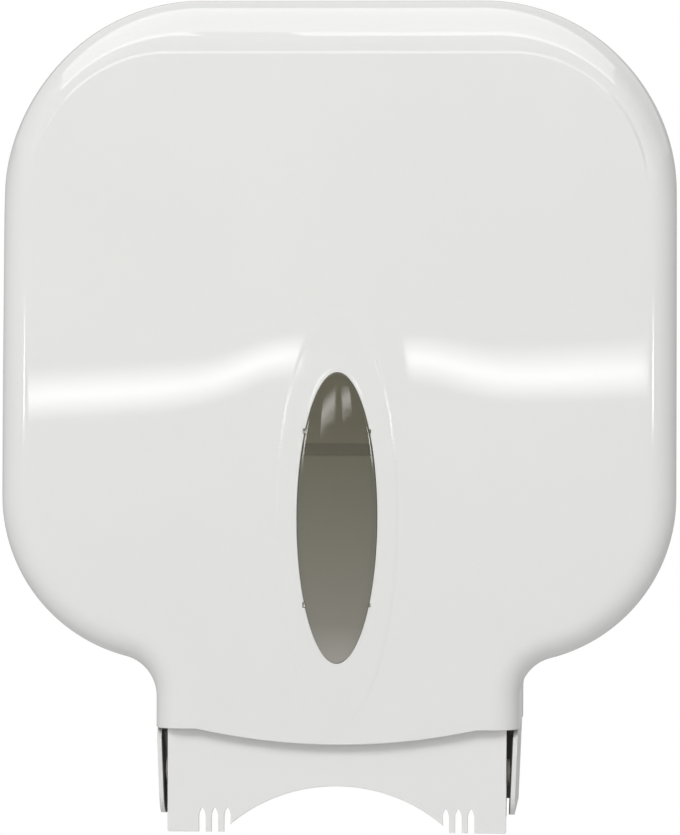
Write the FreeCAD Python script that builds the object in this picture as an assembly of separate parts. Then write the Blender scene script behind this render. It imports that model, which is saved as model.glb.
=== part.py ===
# Jumbo toilet roll dispenser: wall base, keyed lock, spinning roll hub, drop-down cover.
#
# Frame: millimetres. X to the right as seen from the room, Z up, the wall is the plane y = 0 and the
# room is on the -Y side. The origin is on the wall, on the axis of the roll. "Depth" is the distance
# of a point from the wall, so a point at depth d has y = -d.
import FreeCAD
import Part
import math
import os

# Outline of the body, seen from the front, at the depth where it is measured.
half_width = 180.0
half_height = 182.5
top_corner_r = 104.0
bottom_corner_r = 88.5
bottom_corner_drop = 173.8
neck_half = 97.0
neck_fillet_r = 21.7
neck_length = 25.5
outline_depth = 88.0
draft_deg = 0.8

# Depths of the cover.
rim_depth = 12.0
seat_gap = 0.3
front_depth_low = 126.0
lean_back = 10.0
waist_z = -40.0
waist_blend = 22.0
panel_drop = 30.5
panel_top = half_height - panel_drop

# Rounding of the cover: a wide shoulder over the top, a tighter edge down the sides.
side_round = 15.0
shoulder_drop = 30.1
shoulder_run = 40.0
shoulder_reach = 122.5
shoulder_from_z = half_height - shoulder_reach
panel_step = 0.6
panel_edge = 0.9
round_steps = 6
inner_round_steps = 3
curve_spans = 3
front_spans = 24

# Wall thicknesses and general clearances.
cover_wall = 2.6
base_wall = 2.6
plate_thick = 3.0
slip_gap = 0.6
hinge_run_gap = 0.06
tight_gap = 0.02
overrun = 20.0

# Screws, all of one size but the cam's and the hub's.
screw_r = 1.5
screw_head_r = 3.0
screw_head_thick = 2.0
screw_bite = 4.6
screw_gap = 0.15
boss_r = 4.0

# Lower edge of the cover.
lip_z = -half_height - neck_length
lip_drop = 8.0
lip_end_inset = 23.0
lip_half = neck_half - lip_end_inset

# Window in the front of the cover, with a raised rim round it.
window_rise = 86.0
window_z = window_rise - half_height
window_half_x = 21.2
window_half_z = 77.0
window_gap = 0.15
window_flange = 3.6
window_flange_thick = 1.6
window_dome = 1.8
mound_gap = 4.1
mound_margin_z = 30.0
mound_half_x = window_half_x + window_flange + mound_gap + cover_wall
mound_half_z = window_half_z + mound_margin_z
mound_edge = 3.0
mound_proud = 0.4
clip_width = 3.0
clip_z_off = 46.0
clip_depth = 4.0
clip_hook = 1.2

# Tear plate: it is set back behind the cover's front, and reaches below the base.
outlet_drop = 46.5
base_bottom_z = lip_z - outlet_drop
tear_setback = 6.0
tear_front = front_depth_low - tear_setback
tear_thick = 2.5
tear_rise = 19.0
tear_top_z = lip_z + tear_rise
tear_drop = 9.0
tear_bottom_z = base_bottom_z - tear_drop
tear_corner_r = 1.0

# Base: side walls of the paper outlet, and the cut-out behind the tear plate.
outlet_wall = 3.0
outlet_front_gap = 1.5
outlet_wall_front = tear_front - outlet_front_gap
outlet_inset = 0.5
outlet_taper = 1.9
outlet_top_half = neck_half - outlet_inset
outlet_bottom_half = outlet_top_half - outlet_taper
outlet_top_gap = 0.5
outlet_corner_r = 12.0
inner_wall_setback = 6.5
inner_wall_front = outlet_wall_front - inner_wall_setback
inner_wall_thick = 2.2
inner_wall_rise = 30.0
inner_wall_top_z = lip_z + inner_wall_rise
inner_wall_slope = 20.0

# Hinge of the cover, in the side walls of the outlet.
hinge_rise = 22.5
hinge_z = base_bottom_z + hinge_rise
hinge_setback = 15.5
hinge_depth = outlet_wall_front - hinge_setback
hinge_reach = 23.6
pin_r = 3.0
pin_head_r = 5.0
pin_head_thick = 1.6
pin_end_inset = 0.3
washer_r = 7.0
washer_gap = 0.1
rear_cut_margin = 12.6
rear_cut_half = outlet_bottom_half - rear_cut_margin
rear_cut_r = 24.0

# Tear plate: side walls on the hinge, arch, slots between the teeth, screws.
tear_side_gap = 1.6
tear_half = outlet_bottom_half - outlet_wall - tear_side_gap
return_behind = 13.0
return_back = hinge_depth - return_behind
return_foot_rise = 7.5
return_bottom_z = tear_bottom_z + return_foot_rise
return_corner_r = 10.0
arch_half = 56.6
arch_rise = 20.6
arch_edge_rise = 3.9
arch_edge_z = tear_bottom_z + arch_edge_rise
slot_offset = 1.4
slot_first_x = arch_half + slot_offset
slot_pitch = 6.7
slot_count = 3
slot_width = 3.5
slot_height = 13.0
slot_top_z = tear_bottom_z + slot_height
slot_point = 5.0
tear_screw_inner_x = 25.0
tear_screw_edge = 20.0
tear_screw_drop = 10.0
tear_screw_z = tear_top_z - tear_screw_drop

# Base: platform for the spindle, ribs, locating tabs, wall holes.
platform_half = 75.0
platform_top_z = 75.0
platform_bottom_z = -60.0
platform_depth = 9.0
platform_wall = 2.5
platform_corner_r = 10.0
rib_thick = 1.8
rib_depth = 9.5
rib_root = 5.0
rib_start_r = platform_half - rib_root
rib_end_inset = 12.0
rib_end_r = half_width - rib_end_inset
rib_angles_deg = [8.0, 64.0, 90.0, 116.0, 172.0, 208.0, 332.0]
tab_thick = 2.0
tab_width = 24.0
tab_depth = 18.0
tab_top_x = half_width - top_corner_r - tab_width / 2
tab_side_drop = 16.0
tab_side_z = half_height - top_corner_r - tab_side_drop - tab_width / 2
wall_hole_r = 3.1
wall_hole_half_x = 110.0
wall_hole_half_z = 90.0
wall_boss_r = 9.0
wall_boss_depth = 6.0

# Lock in the top of the cover.
lock_depth = 40.0
lock_seat = 0.2
lock_body_r = 8.5
lock_flange_rim = 1.5
lock_flange_r = lock_body_r + lock_flange_rim
lock_flange_thick = 1.5
lock_reach = 17.0
lock_bottom_z = half_height - lock_reach
lock_sleeve_wall = 2.0
lock_bore_r = lock_body_r - lock_sleeve_wall
lock_face_inset = 0.6
lock_key_width = 1.6
lock_key_length = 7.0
lock_key_deep = 6.0
lock_nut_wall = 2.5
lock_nut_flats = 2 * (lock_body_r + lock_nut_wall)
lock_nut_thick = 4.0
lock_run_gap = 0.04
cam_drop = 2.0
cam_top_z = lock_bottom_z - cam_drop
cam_thick = 3.0
cam_width = 9.0
cam_wall_gap = 14.0
cam_length = lock_depth - cam_wall_gap
cam_screw_r = 2.0
cam_screw_head_r = 4.0
cam_screw_head_thick = 2.4
cam_screw_bite = 8.0

# Keeper that the cam turns behind.
keeper_overlap = 4.0
keeper_x = cam_length - keeper_overlap
keeper_width = 16.0
keeper_foot_width = 26.0
keeper_foot_thick = 2.5
keeper_drop = 9.0
keeper_arm_z = cam_top_z - keeper_drop
keeper_arm_thick = 3.0
keeper_top_gap = 2.0
keeper_foot_height = half_height - keeper_top_gap - keeper_arm_z
keeper_lip_thick = 3.5
keeper_lip_height = 14.0
keeper_cam_gap = 2.0
keeper_front = lock_depth + cam_width / 2 + keeper_cam_gap + keeper_lip_thick
keeper_screw_off = 8.0

# Spindle and hub.
hub_front_gap = 18.0
hub_end = front_depth_low - hub_front_gap
hub_r = 27.5
hub_wall = 2.4
hub_lead = 2.5
hub_start_gap = 0.2
hub_run_gap = 0.05
hub_sleeve_wall = 3.0
hub_flange_r = 55.0
hub_flange_thick = 2.5
hub_rib_count = 6
hub_rib_thick = 2.0
hub_hole_margin = 4.75
hub_hole_ring_r = (hub_flange_r + hub_r) / 2
hub_hole_r = (hub_flange_r - hub_r) / 2 - hub_hole_margin
hub_end_gap = 0.3
axle_r = 8.0
axle_recess = 9.5
axle_end = hub_end - axle_recess
axle_flange_half = 35.0
axle_flange_thick = 4.0
axle_corner_r = 8.0
axle_screw_edge = 8.0
axle_screw_off = axle_flange_half - axle_screw_edge
axle_boss_r = 18.0
head_clear = 0.3
drag_washer_r = 20.0
drag_washer_thick = screw_head_thick + head_clear
hub_washer_r = 13.0
hub_washer_thick = 1.6
hub_screw_r = 2.5
hub_screw_head_r = 5.0
hub_screw_head_thick = 3.0
hub_screw_bite = 18.0


def at(x, depth, z):
    """Point at a distance `depth` from the wall."""
    return FreeCAD.Vector(x, -depth, z)


def axis_out():
    """Direction from the wall into the room."""
    return FreeCAD.Vector(0, -1, 0)


def box(x0, x1, depth0, depth1, z0, z1):
    """Box between two values of x, of depth and of height."""
    return Part.makeBox(x1 - x0, depth1 - depth0, z1 - z0, at(x0, depth1, z0))


def rod(radius, x, z, depth0, depth1):
    """Round bar standing out from the wall between two depths."""
    return Part.makeCylinder(radius, depth1 - depth0, at(x, depth0, z), axis_out())


def ring(outer_r, inner_r, x, z, depth0, depth1):
    """Tube standing out from the wall between two depths."""
    bore = rod(inner_r, x, z, depth0 - overrun, depth1 + overrun)
    return rod(outer_r, x, z, depth0, depth1).cut(bore)


def cross_rod(radius, x0, x1, depth, z):
    """Round bar along X."""
    return Part.makeCylinder(radius, x1 - x0, at(x0, depth, z), FreeCAD.Vector(1, 0, 0))


def upright_rod(radius, depth, z0, z1):
    """Round bar along Z in the middle plane."""
    return Part.makeCylinder(radius, z1 - z0, at(0, depth, z0), FreeCAD.Vector(0, 0, 1))


def plate(points, depth0, depth1):
    """Plate with a straight-sided outline, given as (x, z) pairs, between two depths."""
    loop = [at(x, depth0, z) for x, z in points]
    face = Part.Face(Part.makePolygon(loop + loop[:1]))
    return face.extrude(at(0, depth1 - depth0, 0))


def mirrored(shape):
    """The same shape on the other side of the middle plane."""
    return shape.mirror(FreeCAD.Vector(0, 0, 0), FreeCAD.Vector(1, 0, 0))


def both_sides(shape):
    """A shape on the right and its mirror image on the left."""
    return shape.fuse(mirrored(shape))


def group(shapes):
    """Separate solids kept as one piece of the list."""
    solids = []
    for shape in shapes:
        solids.extend(shape.Solids)
    return Part.makeCompound(solids)


def rounded_upright(shape, radius, direction):
    """Round the straight edges of a block that run along one direction."""
    edges = []
    for edge in shape.Edges:
        run = edge.tangentAt(edge.FirstParameter)
        if abs(abs(run.dot(direction)) - 1) < 0.001:
            edges.append(edge)
    return shape.makeFillet(radius, edges)


def front_depth(z):
    """Depth of the front face: upright below the waist, leaning back above it."""
    rise = waist_blend * math.log(1 + math.exp((z - waist_z) / waist_blend))
    return front_depth_low - lean_back * rise / (panel_top - waist_z)


def draft_inset(depth):
    """How far the side walls have drawn in at a depth."""
    return (depth - outline_depth) * math.tan(math.radians(draft_deg))


def shoulder_share(z):
    """0 down the sides, 1 along the top, with a smooth change in between."""
    t = (z - shoulder_from_z) / (panel_top - shoulder_from_z)
    t = min(max(t, 0), 1)
    return t * t * (3 - 2 * t)


def curve(points):
    """Smooth edge through points, or a straight one between two."""
    if len(points) == 2:
        return Part.makeLine(points[0], points[1])
    spline = Part.BSplineCurve()
    spline.interpolate(Points=points, Parameters=list(range(len(points))))
    return spline.toShape()


def outline(inset, top_inset, depth_at, bottom_z):
    """Edges of the body outline, drawn in by `inset`, and by `top_inset` along the top.

    They run clockwise from the top left, with the right half first.
    """
    side = half_width - inset
    top = half_height - top_inset
    corner = top_corner_r - top_inset
    corner_x = side - corner
    corner_z = top - corner
    low_x = half_width - bottom_corner_r
    low_z = bottom_corner_r - bottom_corner_drop
    low_r = bottom_corner_r - inset
    neck = neck_half - inset
    neck_r = neck_fillet_r + inset
    neck_x = neck_half + neck_fillet_r
    reach = bottom_corner_r + neck_fillet_r
    neck_z = low_z - math.sqrt(reach ** 2 - (neck_x - low_x) ** 2)
    swing = math.atan2(neck_z - low_z, neck_x - low_x)

    def arc(cx, cz, radius, start, end):
        turns = [start + (end - start) * k / curve_spans for k in range(curve_spans + 1)]
        return [(cx + radius * math.cos(t), cz + radius * math.sin(t)) for t in turns]

    def line(x0, z0, x1, z1, spans):
        steps = [k / spans for k in range(spans + 1)]
        return [(x0 + (x1 - x0) * s, z0 + (z1 - z0) * s) for s in steps]

    right = [
        arc(corner_x, corner_z, corner, math.pi / 2, 0),
        line(side, corner_z, side, low_z, 2 * curve_spans),
        arc(low_x, low_z, low_r, 0, swing),
        arc(neck_x, neck_z, neck_r, swing + math.pi, math.pi),
        line(neck, neck_z, neck, bottom_z, 1),
    ]
    left = [[(-x, z) for x, z in reversed(run)] for run in reversed(right)]
    runs = [line(-corner_x, top, corner_x, top, 1)] + right
    runs = runs + [line(neck, bottom_z, -neck, bottom_z, 1)] + left
    return [curve([at(x, depth_at(x, z), z) for x, z in run]) for run in runs]


def flat_outline(inset, depth, bottom_z):
    """Body outline in one plane parallel to the wall."""
    edges = outline(inset, inset, lambda x, z: depth, bottom_z)
    return Part.Wire(edges)


def quarter_turns(steps):
    """Angles from 0 to 90 degrees, in radians, in equal steps."""
    return [math.pi / 2 * k / steps for k in range(steps + 1)]


def rounding_outline(turn, skin, step, bottom_z):
    """Edges of one section through the rounded edge of the cover, `skin` below its surface.

    Along the top it ends a `step` below the front panel.
    """
    across = 1 - math.cos(turn)
    along = 1 - math.sin(turn)
    drawn = skin + draft_inset(front_depth_low - side_round)
    inset = drawn + (side_round - skin) * across
    top_inset = drawn + (shoulder_drop - skin) * across

    def depth_at(x, z):
        share = shoulder_share(z + top_inset * shoulder_share(z))
        run = side_round + (shoulder_run - side_round) * share - skin
        return front_depth(z) - skin - run * along - step * share

    return outline(inset, top_inset, depth_at, bottom_z)


def panel_outline(bottom_z):
    """Edges of the front panel, which stands a small step proud of the shoulder along the top."""
    drawn = draft_inset(front_depth_low - side_round) + panel_edge
    return outline(drawn + side_round, drawn + shoulder_drop, lambda x, z: front_depth(z), bottom_z)


def front_surface(skin):
    """Front face of the cover, `skin` below its surface: one profile carried straight across."""
    low = base_bottom_z - 2 * overrun
    high = half_height + overrun
    heights = [low + (high - low) * k / front_spans for k in range(front_spans + 1)]
    far = half_width + overrun
    rows = [[at(x, front_depth(z) - skin, z) for z in heights] for x in [-far, far]]
    surface = Part.BSplineSurface()
    surface.interpolate(rows)
    return surface


def cover_block(skin, rear, bottom_z):
    """Solid block bounded by the cover's surface, or by a parallel one `skin` inside it."""
    rear_wire = flat_outline(draft_inset(rear) + skin, rear, bottom_z)
    step = panel_step if skin == 0 else 0
    steps = round_steps if skin == 0 else inner_round_steps
    sections = [rounding_outline(angle, skin, step, bottom_z) for angle in quarter_turns(steps)]
    wires = [Part.Wire(edges) for edges in sections]
    faces = [Part.Face(rear_wire)]
    faces.extend(Part.makeLoft([rear_wire, wires[0]], False, True).Faces)
    faces.extend(Part.makeLoft(wires, False, True).Faces)
    rim = sections[-1]
    if step > 0:
        rim = panel_outline(bottom_z)
        faces.extend(Part.makeLoft([wires[-1], Part.Wire(rim)], False, True).Faces)
    front = Part.Face(front_surface(skin), Part.Wire(rim))
    front.validate()
    faces.append(front)
    shell = Part.makeShell(faces)
    shell.sewShape()
    solid = Part.Solid(shell.Shells[0] if shell.Shells else shell)
    if solid.Volume < 0:
        solid.reverse()
    return solid


def ellipse_wire(half_x, half_z, depth):
    """Upright ellipse parallel to the wall, round the middle of the window."""
    quarters = []
    for quarter in range(4):
        turns = [math.pi / 2 * (quarter + k / curve_spans) for k in range(curve_spans + 1)]
        quarters.append(curve([at(half_x * math.cos(t), depth, window_z + half_z * math.sin(t))
                               for t in turns]))
    return Part.Wire(quarters)


def ellipse_block(half_x, half_z, depth0, depth1):
    """Straight elliptical block between two depths."""
    face = Part.Face(ellipse_wire(half_x, half_z, depth0))
    return face.extrude(at(0, depth1 - depth0, 0))


def rounded_ellipse(half_x, half_z, depth0, depth1, edge_x, edge_depth):
    """Elliptical block whose front edge is rounded off."""
    wires = [ellipse_wire(half_x, half_z, depth0)]
    for turn in quarter_turns(inner_round_steps):
        inset = edge_x * (1 - math.cos(turn))
        depth = depth1 - edge_depth * (1 - math.sin(turn))
        wires.append(ellipse_wire(half_x - inset, half_z - inset, depth))
    return Part.makeLoft(wires, True, True)


def lip_cutter():
    """Everything below the lower edge of the cover, which sags in the middle."""
    far = half_width + overrun
    low = base_bottom_z - overrun
    rear = -overrun
    left = at(-lip_half, rear, lip_z)
    right = at(lip_half, rear, lip_z)
    sag = Part.Arc(right, at(0, rear, lip_z - lip_drop), left).toShape()
    outer = Part.makePolygon([left, at(-far, rear, lip_z), at(-far, rear, low), at(far, rear, low),
                              at(far, rear, lip_z), right])
    face = Part.Face(Part.Wire([sag] + outer.Edges))
    return face.extrude(at(0, front_depth_low + 2 * overrun, 0))


def cover_boss_places():
    """X positions of the screws that hold the tear plate."""
    outer_x = tear_half - tear_screw_edge
    return [-outer_x, -tear_screw_inner_x, tear_screw_inner_x, outer_x]


def make_front_cover():
    """Drop-down cover: drafted side walls, rounded shoulder, leaning front, window opening."""
    bottom = lip_z - lip_drop - overrun
    outer = cover_block(0, rim_depth + seat_gap, bottom)
    inner = cover_block(cover_wall, rim_depth + seat_gap - overrun, bottom - overrun)
    window_front = front_depth_low + mound_proud
    boss_rear = window_front - cover_wall
    boss_start = front_depth(window_z + mound_half_z) - cover_wall
    boss = rounded_ellipse(mound_half_x, mound_half_z, boss_start, window_front, mound_edge, mound_edge)
    hollow = ellipse_block(mound_half_x - cover_wall, mound_half_z - cover_wall,
                           boss_start - overrun, boss_rear)
    shell = outer.fuse(boss).cut(inner).cut(hollow)
    for x in cover_boss_places():
        post = rod(boss_r, x, tear_screw_z, tear_front, front_depth_low - cover_wall + seat_gap)
        pilot = rod(screw_r, x, tear_screw_z, tear_front - overrun, tear_front + screw_bite)
        shell = shell.fuse(post).cut(pilot)
    shell = shell.cut(lip_cutter())
    opening = ellipse_block(window_half_x + window_gap, window_half_z + window_gap,
                            boss_rear - overrun, window_front + overrun)
    shell = shell.cut(opening)
    for side in [-1, 1]:
        for z in [window_z - clip_z_off, window_z + clip_z_off]:
            reach = window_edge_x(z)
            shell = shell.cut(clip_block(side, z, reach, boss_rear - overrun, window_front + overrun,
                                         window_gap))
    top_z = lock_top_z()
    under_z = lock_under_z()
    shell = shell.cut(upright_rod(lock_flange_r + window_gap, lock_depth, top_z, top_z + overrun))
    nut_r = lock_nut_flats / math.sqrt(3) + window_gap
    shell = shell.cut(upright_rod(nut_r, lock_depth, under_z - overrun, under_z))
    hole = upright_rod(lock_body_r + window_gap, lock_depth, top_z - overrun, top_z + overrun)
    return shell.cut(hole)


def window_edge_x(z):
    """Half-width of the window at a height."""
    return window_half_x * math.sqrt(1 - ((z - window_z) / window_half_z) ** 2)


def clip_block(side, z, reach, depth0, depth1, gap):
    """Small block at the edge of the window where a snap hook passes through the cover."""
    half = clip_width / 2 + gap
    inner = reach - clip_hook - gap
    outer = reach + clip_hook + gap
    return box(min(side * inner, side * outer), max(side * inner, side * outer), depth0, depth1,
               z - half, z + half)


def make_window():
    """Smoked lens: flange behind the cover, domed front, four snap hooks at its edge."""
    window_front = front_depth_low + mound_proud
    boss_rear = window_front - cover_wall
    flange = ellipse_block(window_half_x + window_flange, window_half_z + window_flange,
                           boss_rear - window_flange_thick, boss_rear)
    lens = rounded_ellipse(window_half_x, window_half_z, boss_rear, window_front + window_dome,
                           window_half_x / 2, window_dome)
    body = flange.fuse(lens)
    for side in [-1, 1]:
        for z in [window_z - clip_z_off, window_z + clip_z_off]:
            hook = clip_block(side, z, window_edge_x(z), boss_rear - clip_depth, window_front, 0)
            body = body.fuse(hook)
    dish = ellipse_block(window_half_x - cover_wall, window_half_z - cover_wall,
                         boss_rear - overrun, window_front - cover_wall / 2)
    return body.cut(dish)


def outlet_half(z):
    """Outer half-width of the exposed side walls of the outlet."""
    share = (z - base_bottom_z) / (lip_z - base_bottom_z)
    return outlet_bottom_half + (outlet_top_half - outlet_bottom_half) * share


def outlet_wall_section(z):
    """Plan of the right side wall of the outlet at a height."""
    outer = outlet_half(z)
    rear = outer - draft_inset(0)
    front = outer - draft_inset(outlet_wall_front)
    loop = [at(rear - outlet_wall, 0, z), at(rear, 0, z), at(front, outlet_wall_front, z),
            at(front - outlet_wall, outlet_wall_front, z)]
    return Part.makePolygon(loop + loop[:1])


def outlet_side():
    """Right side wall of the outlet, shaped round the hinge so that the cover can swing past."""
    top = lip_z - outlet_top_gap
    wall = Part.makeLoft([outlet_wall_section(base_bottom_z), outlet_wall_section(top)], True, True)
    near = neck_half - 2 * overrun
    far = neck_half + overrun
    corner = box(near, far, hinge_depth, outlet_wall_front + overrun, hinge_z, top + overrun)
    corner = corner.cut(cross_rod(hinge_reach, near - overrun, far + overrun, hinge_depth, hinge_z))
    wall = wall.cut(corner)
    low_depth = outlet_wall_front - outlet_corner_r
    low_z = base_bottom_z + outlet_corner_r
    low = box(near, far, low_depth, outlet_wall_front + overrun, base_bottom_z - overrun, low_z)
    low = low.cut(cross_rod(outlet_corner_r, near - overrun, far + overrun, low_depth, low_z))
    return wall.cut(low)


def inner_side():
    """Right wall of the chute inside the cover's neck, standing on the outlet wall."""
    bottom = lip_z - outlet_wall
    clear = cover_wall + slip_gap

    def outer_x(depth):
        return neck_half - clear - draft_inset(depth)

    loop = [at(outer_x(0), 0, bottom), at(outer_x(inner_wall_front), inner_wall_front, bottom),
            at(outer_x(inner_wall_front) - inner_wall_thick, inner_wall_front, bottom),
            at(outer_x(0) - inner_wall_thick, 0, bottom)]
    face = Part.Face(Part.makePolygon(loop + loop[:1]))
    wall = face.extrude(FreeCAD.Vector(0, 0, inner_wall_top_z - bottom))
    near = neck_half - 2 * overrun
    far = neck_half + overrun
    slope = Part.Face(Part.makePolygon([
        at(near, inner_wall_front + overrun, lip_z), at(near, inner_wall_front + overrun, 0),
        at(near, plate_thick, 0), at(near, plate_thick, inner_wall_top_z),
        at(near, inner_wall_front / 2, inner_wall_top_z),
        at(near, inner_wall_front, inner_wall_top_z - inner_wall_slope),
        at(near, inner_wall_front + overrun, lip_z)]))
    return wall.cut(slope.extrude(FreeCAD.Vector(far - near, 0, 0)))


def base_plate_blank():
    """Back plate with its raised rim, over the whole body and down to the foot of the outlet."""
    top = lip_z - outlet_top_gap
    blank = Part.Face(flat_outline(draft_inset(0), 0, top)).extrude(at(0, rim_depth, 0))
    hollow_wire = flat_outline(draft_inset(0) + base_wall, plate_thick, top - overrun)
    hollow = Part.Face(hollow_wire).extrude(at(0, rim_depth + overrun, 0))
    top_half = outlet_half(top) - draft_inset(0)
    low_half = outlet_bottom_half - draft_inset(0)
    foot = plate([(-top_half, top), (top_half, top), (low_half, base_bottom_z),
                  (-low_half, base_bottom_z)], 0, plate_thick)
    return blank.cut(hollow).fuse(foot)


def base_rib(angle_deg):
    """One stiffening rib from the spindle platform towards the rim."""
    rib = box(rib_start_r, rib_end_r, plate_thick / 2, rib_depth, -rib_thick / 2, rib_thick / 2)
    rib.rotate(at(0, 0, 0), axis_out(), angle_deg)
    return rib


def base_tabs():
    """Tabs inside the rim that line the closed cover up."""
    reach = half_height - cover_wall - slip_gap - draft_inset(tab_depth)
    side_reach = half_width - cover_wall - slip_gap - draft_inset(tab_depth)
    half = tab_width / 2
    top = box(tab_top_x - half, tab_top_x + half, plate_thick / 2, tab_depth, reach - tab_thick, reach)
    side = box(side_reach - tab_thick, side_reach, plate_thick / 2, tab_depth,
               tab_side_z - half, tab_side_z + half)
    return both_sides(top.fuse(side))


def make_back_plate():
    """Wall base: plate and rim, outlet walls, spindle platform, ribs, tabs and holes."""
    base = base_plate_blank()
    for angle in rib_angles_deg:
        base = base.fuse(base_rib(angle))
    inside = Part.Face(flat_outline(draft_inset(0) + base_wall / 2, -overrun, lip_z))
    base = base.common(inside.extrude(at(0, rim_depth + 2 * overrun, 0)).fuse(base_plate_blank()))
    platform = box(-platform_half, platform_half, plate_thick / 2, platform_depth,
                   platform_bottom_z, platform_top_z)
    platform = rounded_upright(platform, platform_corner_r, axis_out())
    hollow = box(platform_wall - platform_half, platform_half - platform_wall, -overrun,
                 platform_depth - platform_wall, platform_bottom_z + platform_wall,
                 platform_top_z - platform_wall)
    hollow = rounded_upright(hollow, platform_corner_r - platform_wall, axis_out())
    base = base.fuse(platform).cut(hollow)
    base = base.fuse(rod(axle_boss_r, 0, 0, 0, platform_depth - platform_wall / 2))
    for x in [-axle_screw_off, axle_screw_off]:
        for z in [-axle_screw_off, axle_screw_off]:
            base = base.fuse(rod(boss_r, x, z, 0, platform_depth - platform_wall / 2))
            pilot = rod(screw_r, x, z, platform_depth - screw_bite, platform_depth + overrun)
            base = base.cut(pilot)
    base = base.fuse(both_sides(outlet_side().fuse(inner_side())))
    base = base.fuse(base_tabs())
    for x in [-wall_hole_half_x, wall_hole_half_x]:
        for z in [-wall_hole_half_z, wall_hole_half_z]:
            base = base.fuse(rod(wall_boss_r, x, z, 0, wall_boss_depth))
            base = base.cut(rod(wall_hole_r, x, z, -overrun, wall_boss_depth + overrun))
    cut = box(-rear_cut_half, rear_cut_half, -overrun, plate_thick + overrun,
              base_bottom_z - 2 * overrun, hinge_z)
    base = base.cut(rounded_upright(cut, rear_cut_r, axis_out()))
    bore = cross_rod(pin_r + tight_gap, -half_width, half_width, hinge_depth, hinge_z)
    base = base.cut(bore)
    for z in keeper_screw_heights():
        pilot = rod(screw_r, keeper_x, z, plate_thick - screw_bite + screw_gap, plate_thick + overrun)
        base = base.cut(pilot)
    return base.removeSplitter()


def keeper_screw_heights():
    """Heights of the two screws through the foot of the keeper."""
    middle = keeper_arm_z + keeper_foot_height / 2
    return [middle - keeper_screw_off + keeper_arm_thick, middle + keeper_screw_off]


def ogive(x):
    """Pointed slot between two teeth of the tear edge."""
    half = slot_width / 2
    rear = tear_front - tear_thick - overrun
    foot_z = tear_bottom_z - overrun
    spring_z = slot_top_z - slot_point
    bow_x = half * math.sqrt(3) / 2
    mid_z = (slot_top_z + spring_z) / 2
    tip = at(x, rear, slot_top_z)
    right = at(x + half, rear, spring_z)
    left = at(x - half, rear, spring_z)
    up = Part.Arc(right, at(x + bow_x, rear, mid_z), tip).toShape()
    down = Part.Arc(tip, at(x - bow_x, rear, mid_z), left).toShape()
    foot = Part.makePolygon([left, at(x - half, rear, foot_z), at(x + half, rear, foot_z), right])
    return Part.Face(Part.Wire([up, down] + foot.Edges)).extrude(at(0, tear_thick + 2 * overrun, 0))


def tear_arch():
    """Arch in the lower edge of the tear plate."""
    rear = tear_front - tear_thick - overrun
    low = tear_bottom_z - overrun
    right = at(arch_half, rear, arch_edge_z)
    left = at(-arch_half, rear, arch_edge_z)
    bow = Part.Arc(right, at(0, rear, arch_edge_z + arch_rise), left).toShape()
    foot = Part.makePolygon([left, at(-arch_half, rear, low), at(arch_half, rear, low), right])
    return Part.Face(Part.Wire([bow] + foot.Edges)).extrude(at(0, tear_thick + 2 * overrun, 0))


def tear_return():
    """Right side wall of the tear plate, which carries the hinge pin."""
    wall = box(tear_half - tear_thick, tear_half, return_back, tear_front - tear_thick / 2,
               return_bottom_z, lip_z)
    rear_edges = []
    for edge in wall.Edges:
        middle = edge.CenterOfMass
        if abs(middle.y + return_back) < tight_gap and abs(edge.Length - tear_thick) < tight_gap:
            rear_edges.append(edge)
    return wall.makeFillet(return_corner_r, rear_edges)


def make_tear_plate():
    """Tear plate below the cover: slotted teeth, arch, and two side walls on the hinge pins."""
    front = box(-tear_half, tear_half, tear_front - tear_thick, tear_front, tear_bottom_z, tear_top_z)
    front = rounded_upright(front, tear_corner_r, axis_out())
    front = front.cut(tear_arch())
    for k in range(slot_count):
        front = front.cut(both_sides(ogive(slot_first_x + slot_pitch * k)))
    body = front.fuse(both_sides(tear_return()))
    body = body.cut(cross_rod(pin_r + hinge_run_gap, -half_width, half_width, hinge_depth, hinge_z))
    for x in cover_boss_places():
        hole = rod(screw_r + screw_gap, x, tear_screw_z, tear_front - tear_thick - overrun,
                   tear_front + overrun)
        body = body.cut(hole)
    return body.removeSplitter()


def screw(x, z, head_depth, shaft_r, head_r, head_thick, bite, towards):
    """Pan head screw along Y: its head sits at a depth and its shaft runs on from there."""
    tip = head_depth + towards * bite
    back = head_depth - towards * head_thick
    head = rod(head_r, x, z, min(head_depth, back), max(head_depth, back))
    shaft = rod(shaft_r, x, z, min(head_depth, tip), max(head_depth, tip))
    return head.fuse(shaft)


def make_tear_plate_screws():
    """Four screws driven forwards through the tear plate into the cover's posts."""
    rear = tear_front - tear_thick
    bite = tear_thick + screw_bite - screw_gap
    return group([screw(x, tear_screw_z, rear, screw_r - tight_gap, screw_head_r, screw_head_thick,
                        bite, 1) for x in cover_boss_places()])


def hinge_pin():
    """Right hinge pin: head inside the tear plate's wall, shaft through to the base's wall."""
    head_x = tear_half - tear_thick
    end_x = outlet_half(hinge_z) - draft_inset(hinge_depth) - pin_end_inset
    head = cross_rod(pin_head_r, head_x - pin_head_thick, head_x, hinge_depth, hinge_z)
    return head.fuse(cross_rod(pin_r, head_x, end_x, hinge_depth, hinge_z))


def hinge_washer():
    """Right washer between the tear plate's wall and the base's wall."""
    start = tear_half
    end = outlet_half(hinge_z - washer_r) - draft_inset(hinge_depth + washer_r)
    end = end - outlet_wall - washer_gap
    disc = cross_rod(washer_r, start, end, hinge_depth, hinge_z)
    return disc.cut(cross_rod(pin_r + tight_gap, start - overrun, end + overrun, hinge_depth, hinge_z))


def lock_top_z():
    """Height of the flat seat on top of the cover that the lock's flange rests on."""
    return half_height - draft_inset(lock_depth) - lock_seat


def lock_under_z():
    """Height of the flat seat under the cover's top wall that the lock's nut presses on."""
    return lock_top_z() - cover_wall + 2 * lock_seat


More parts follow.
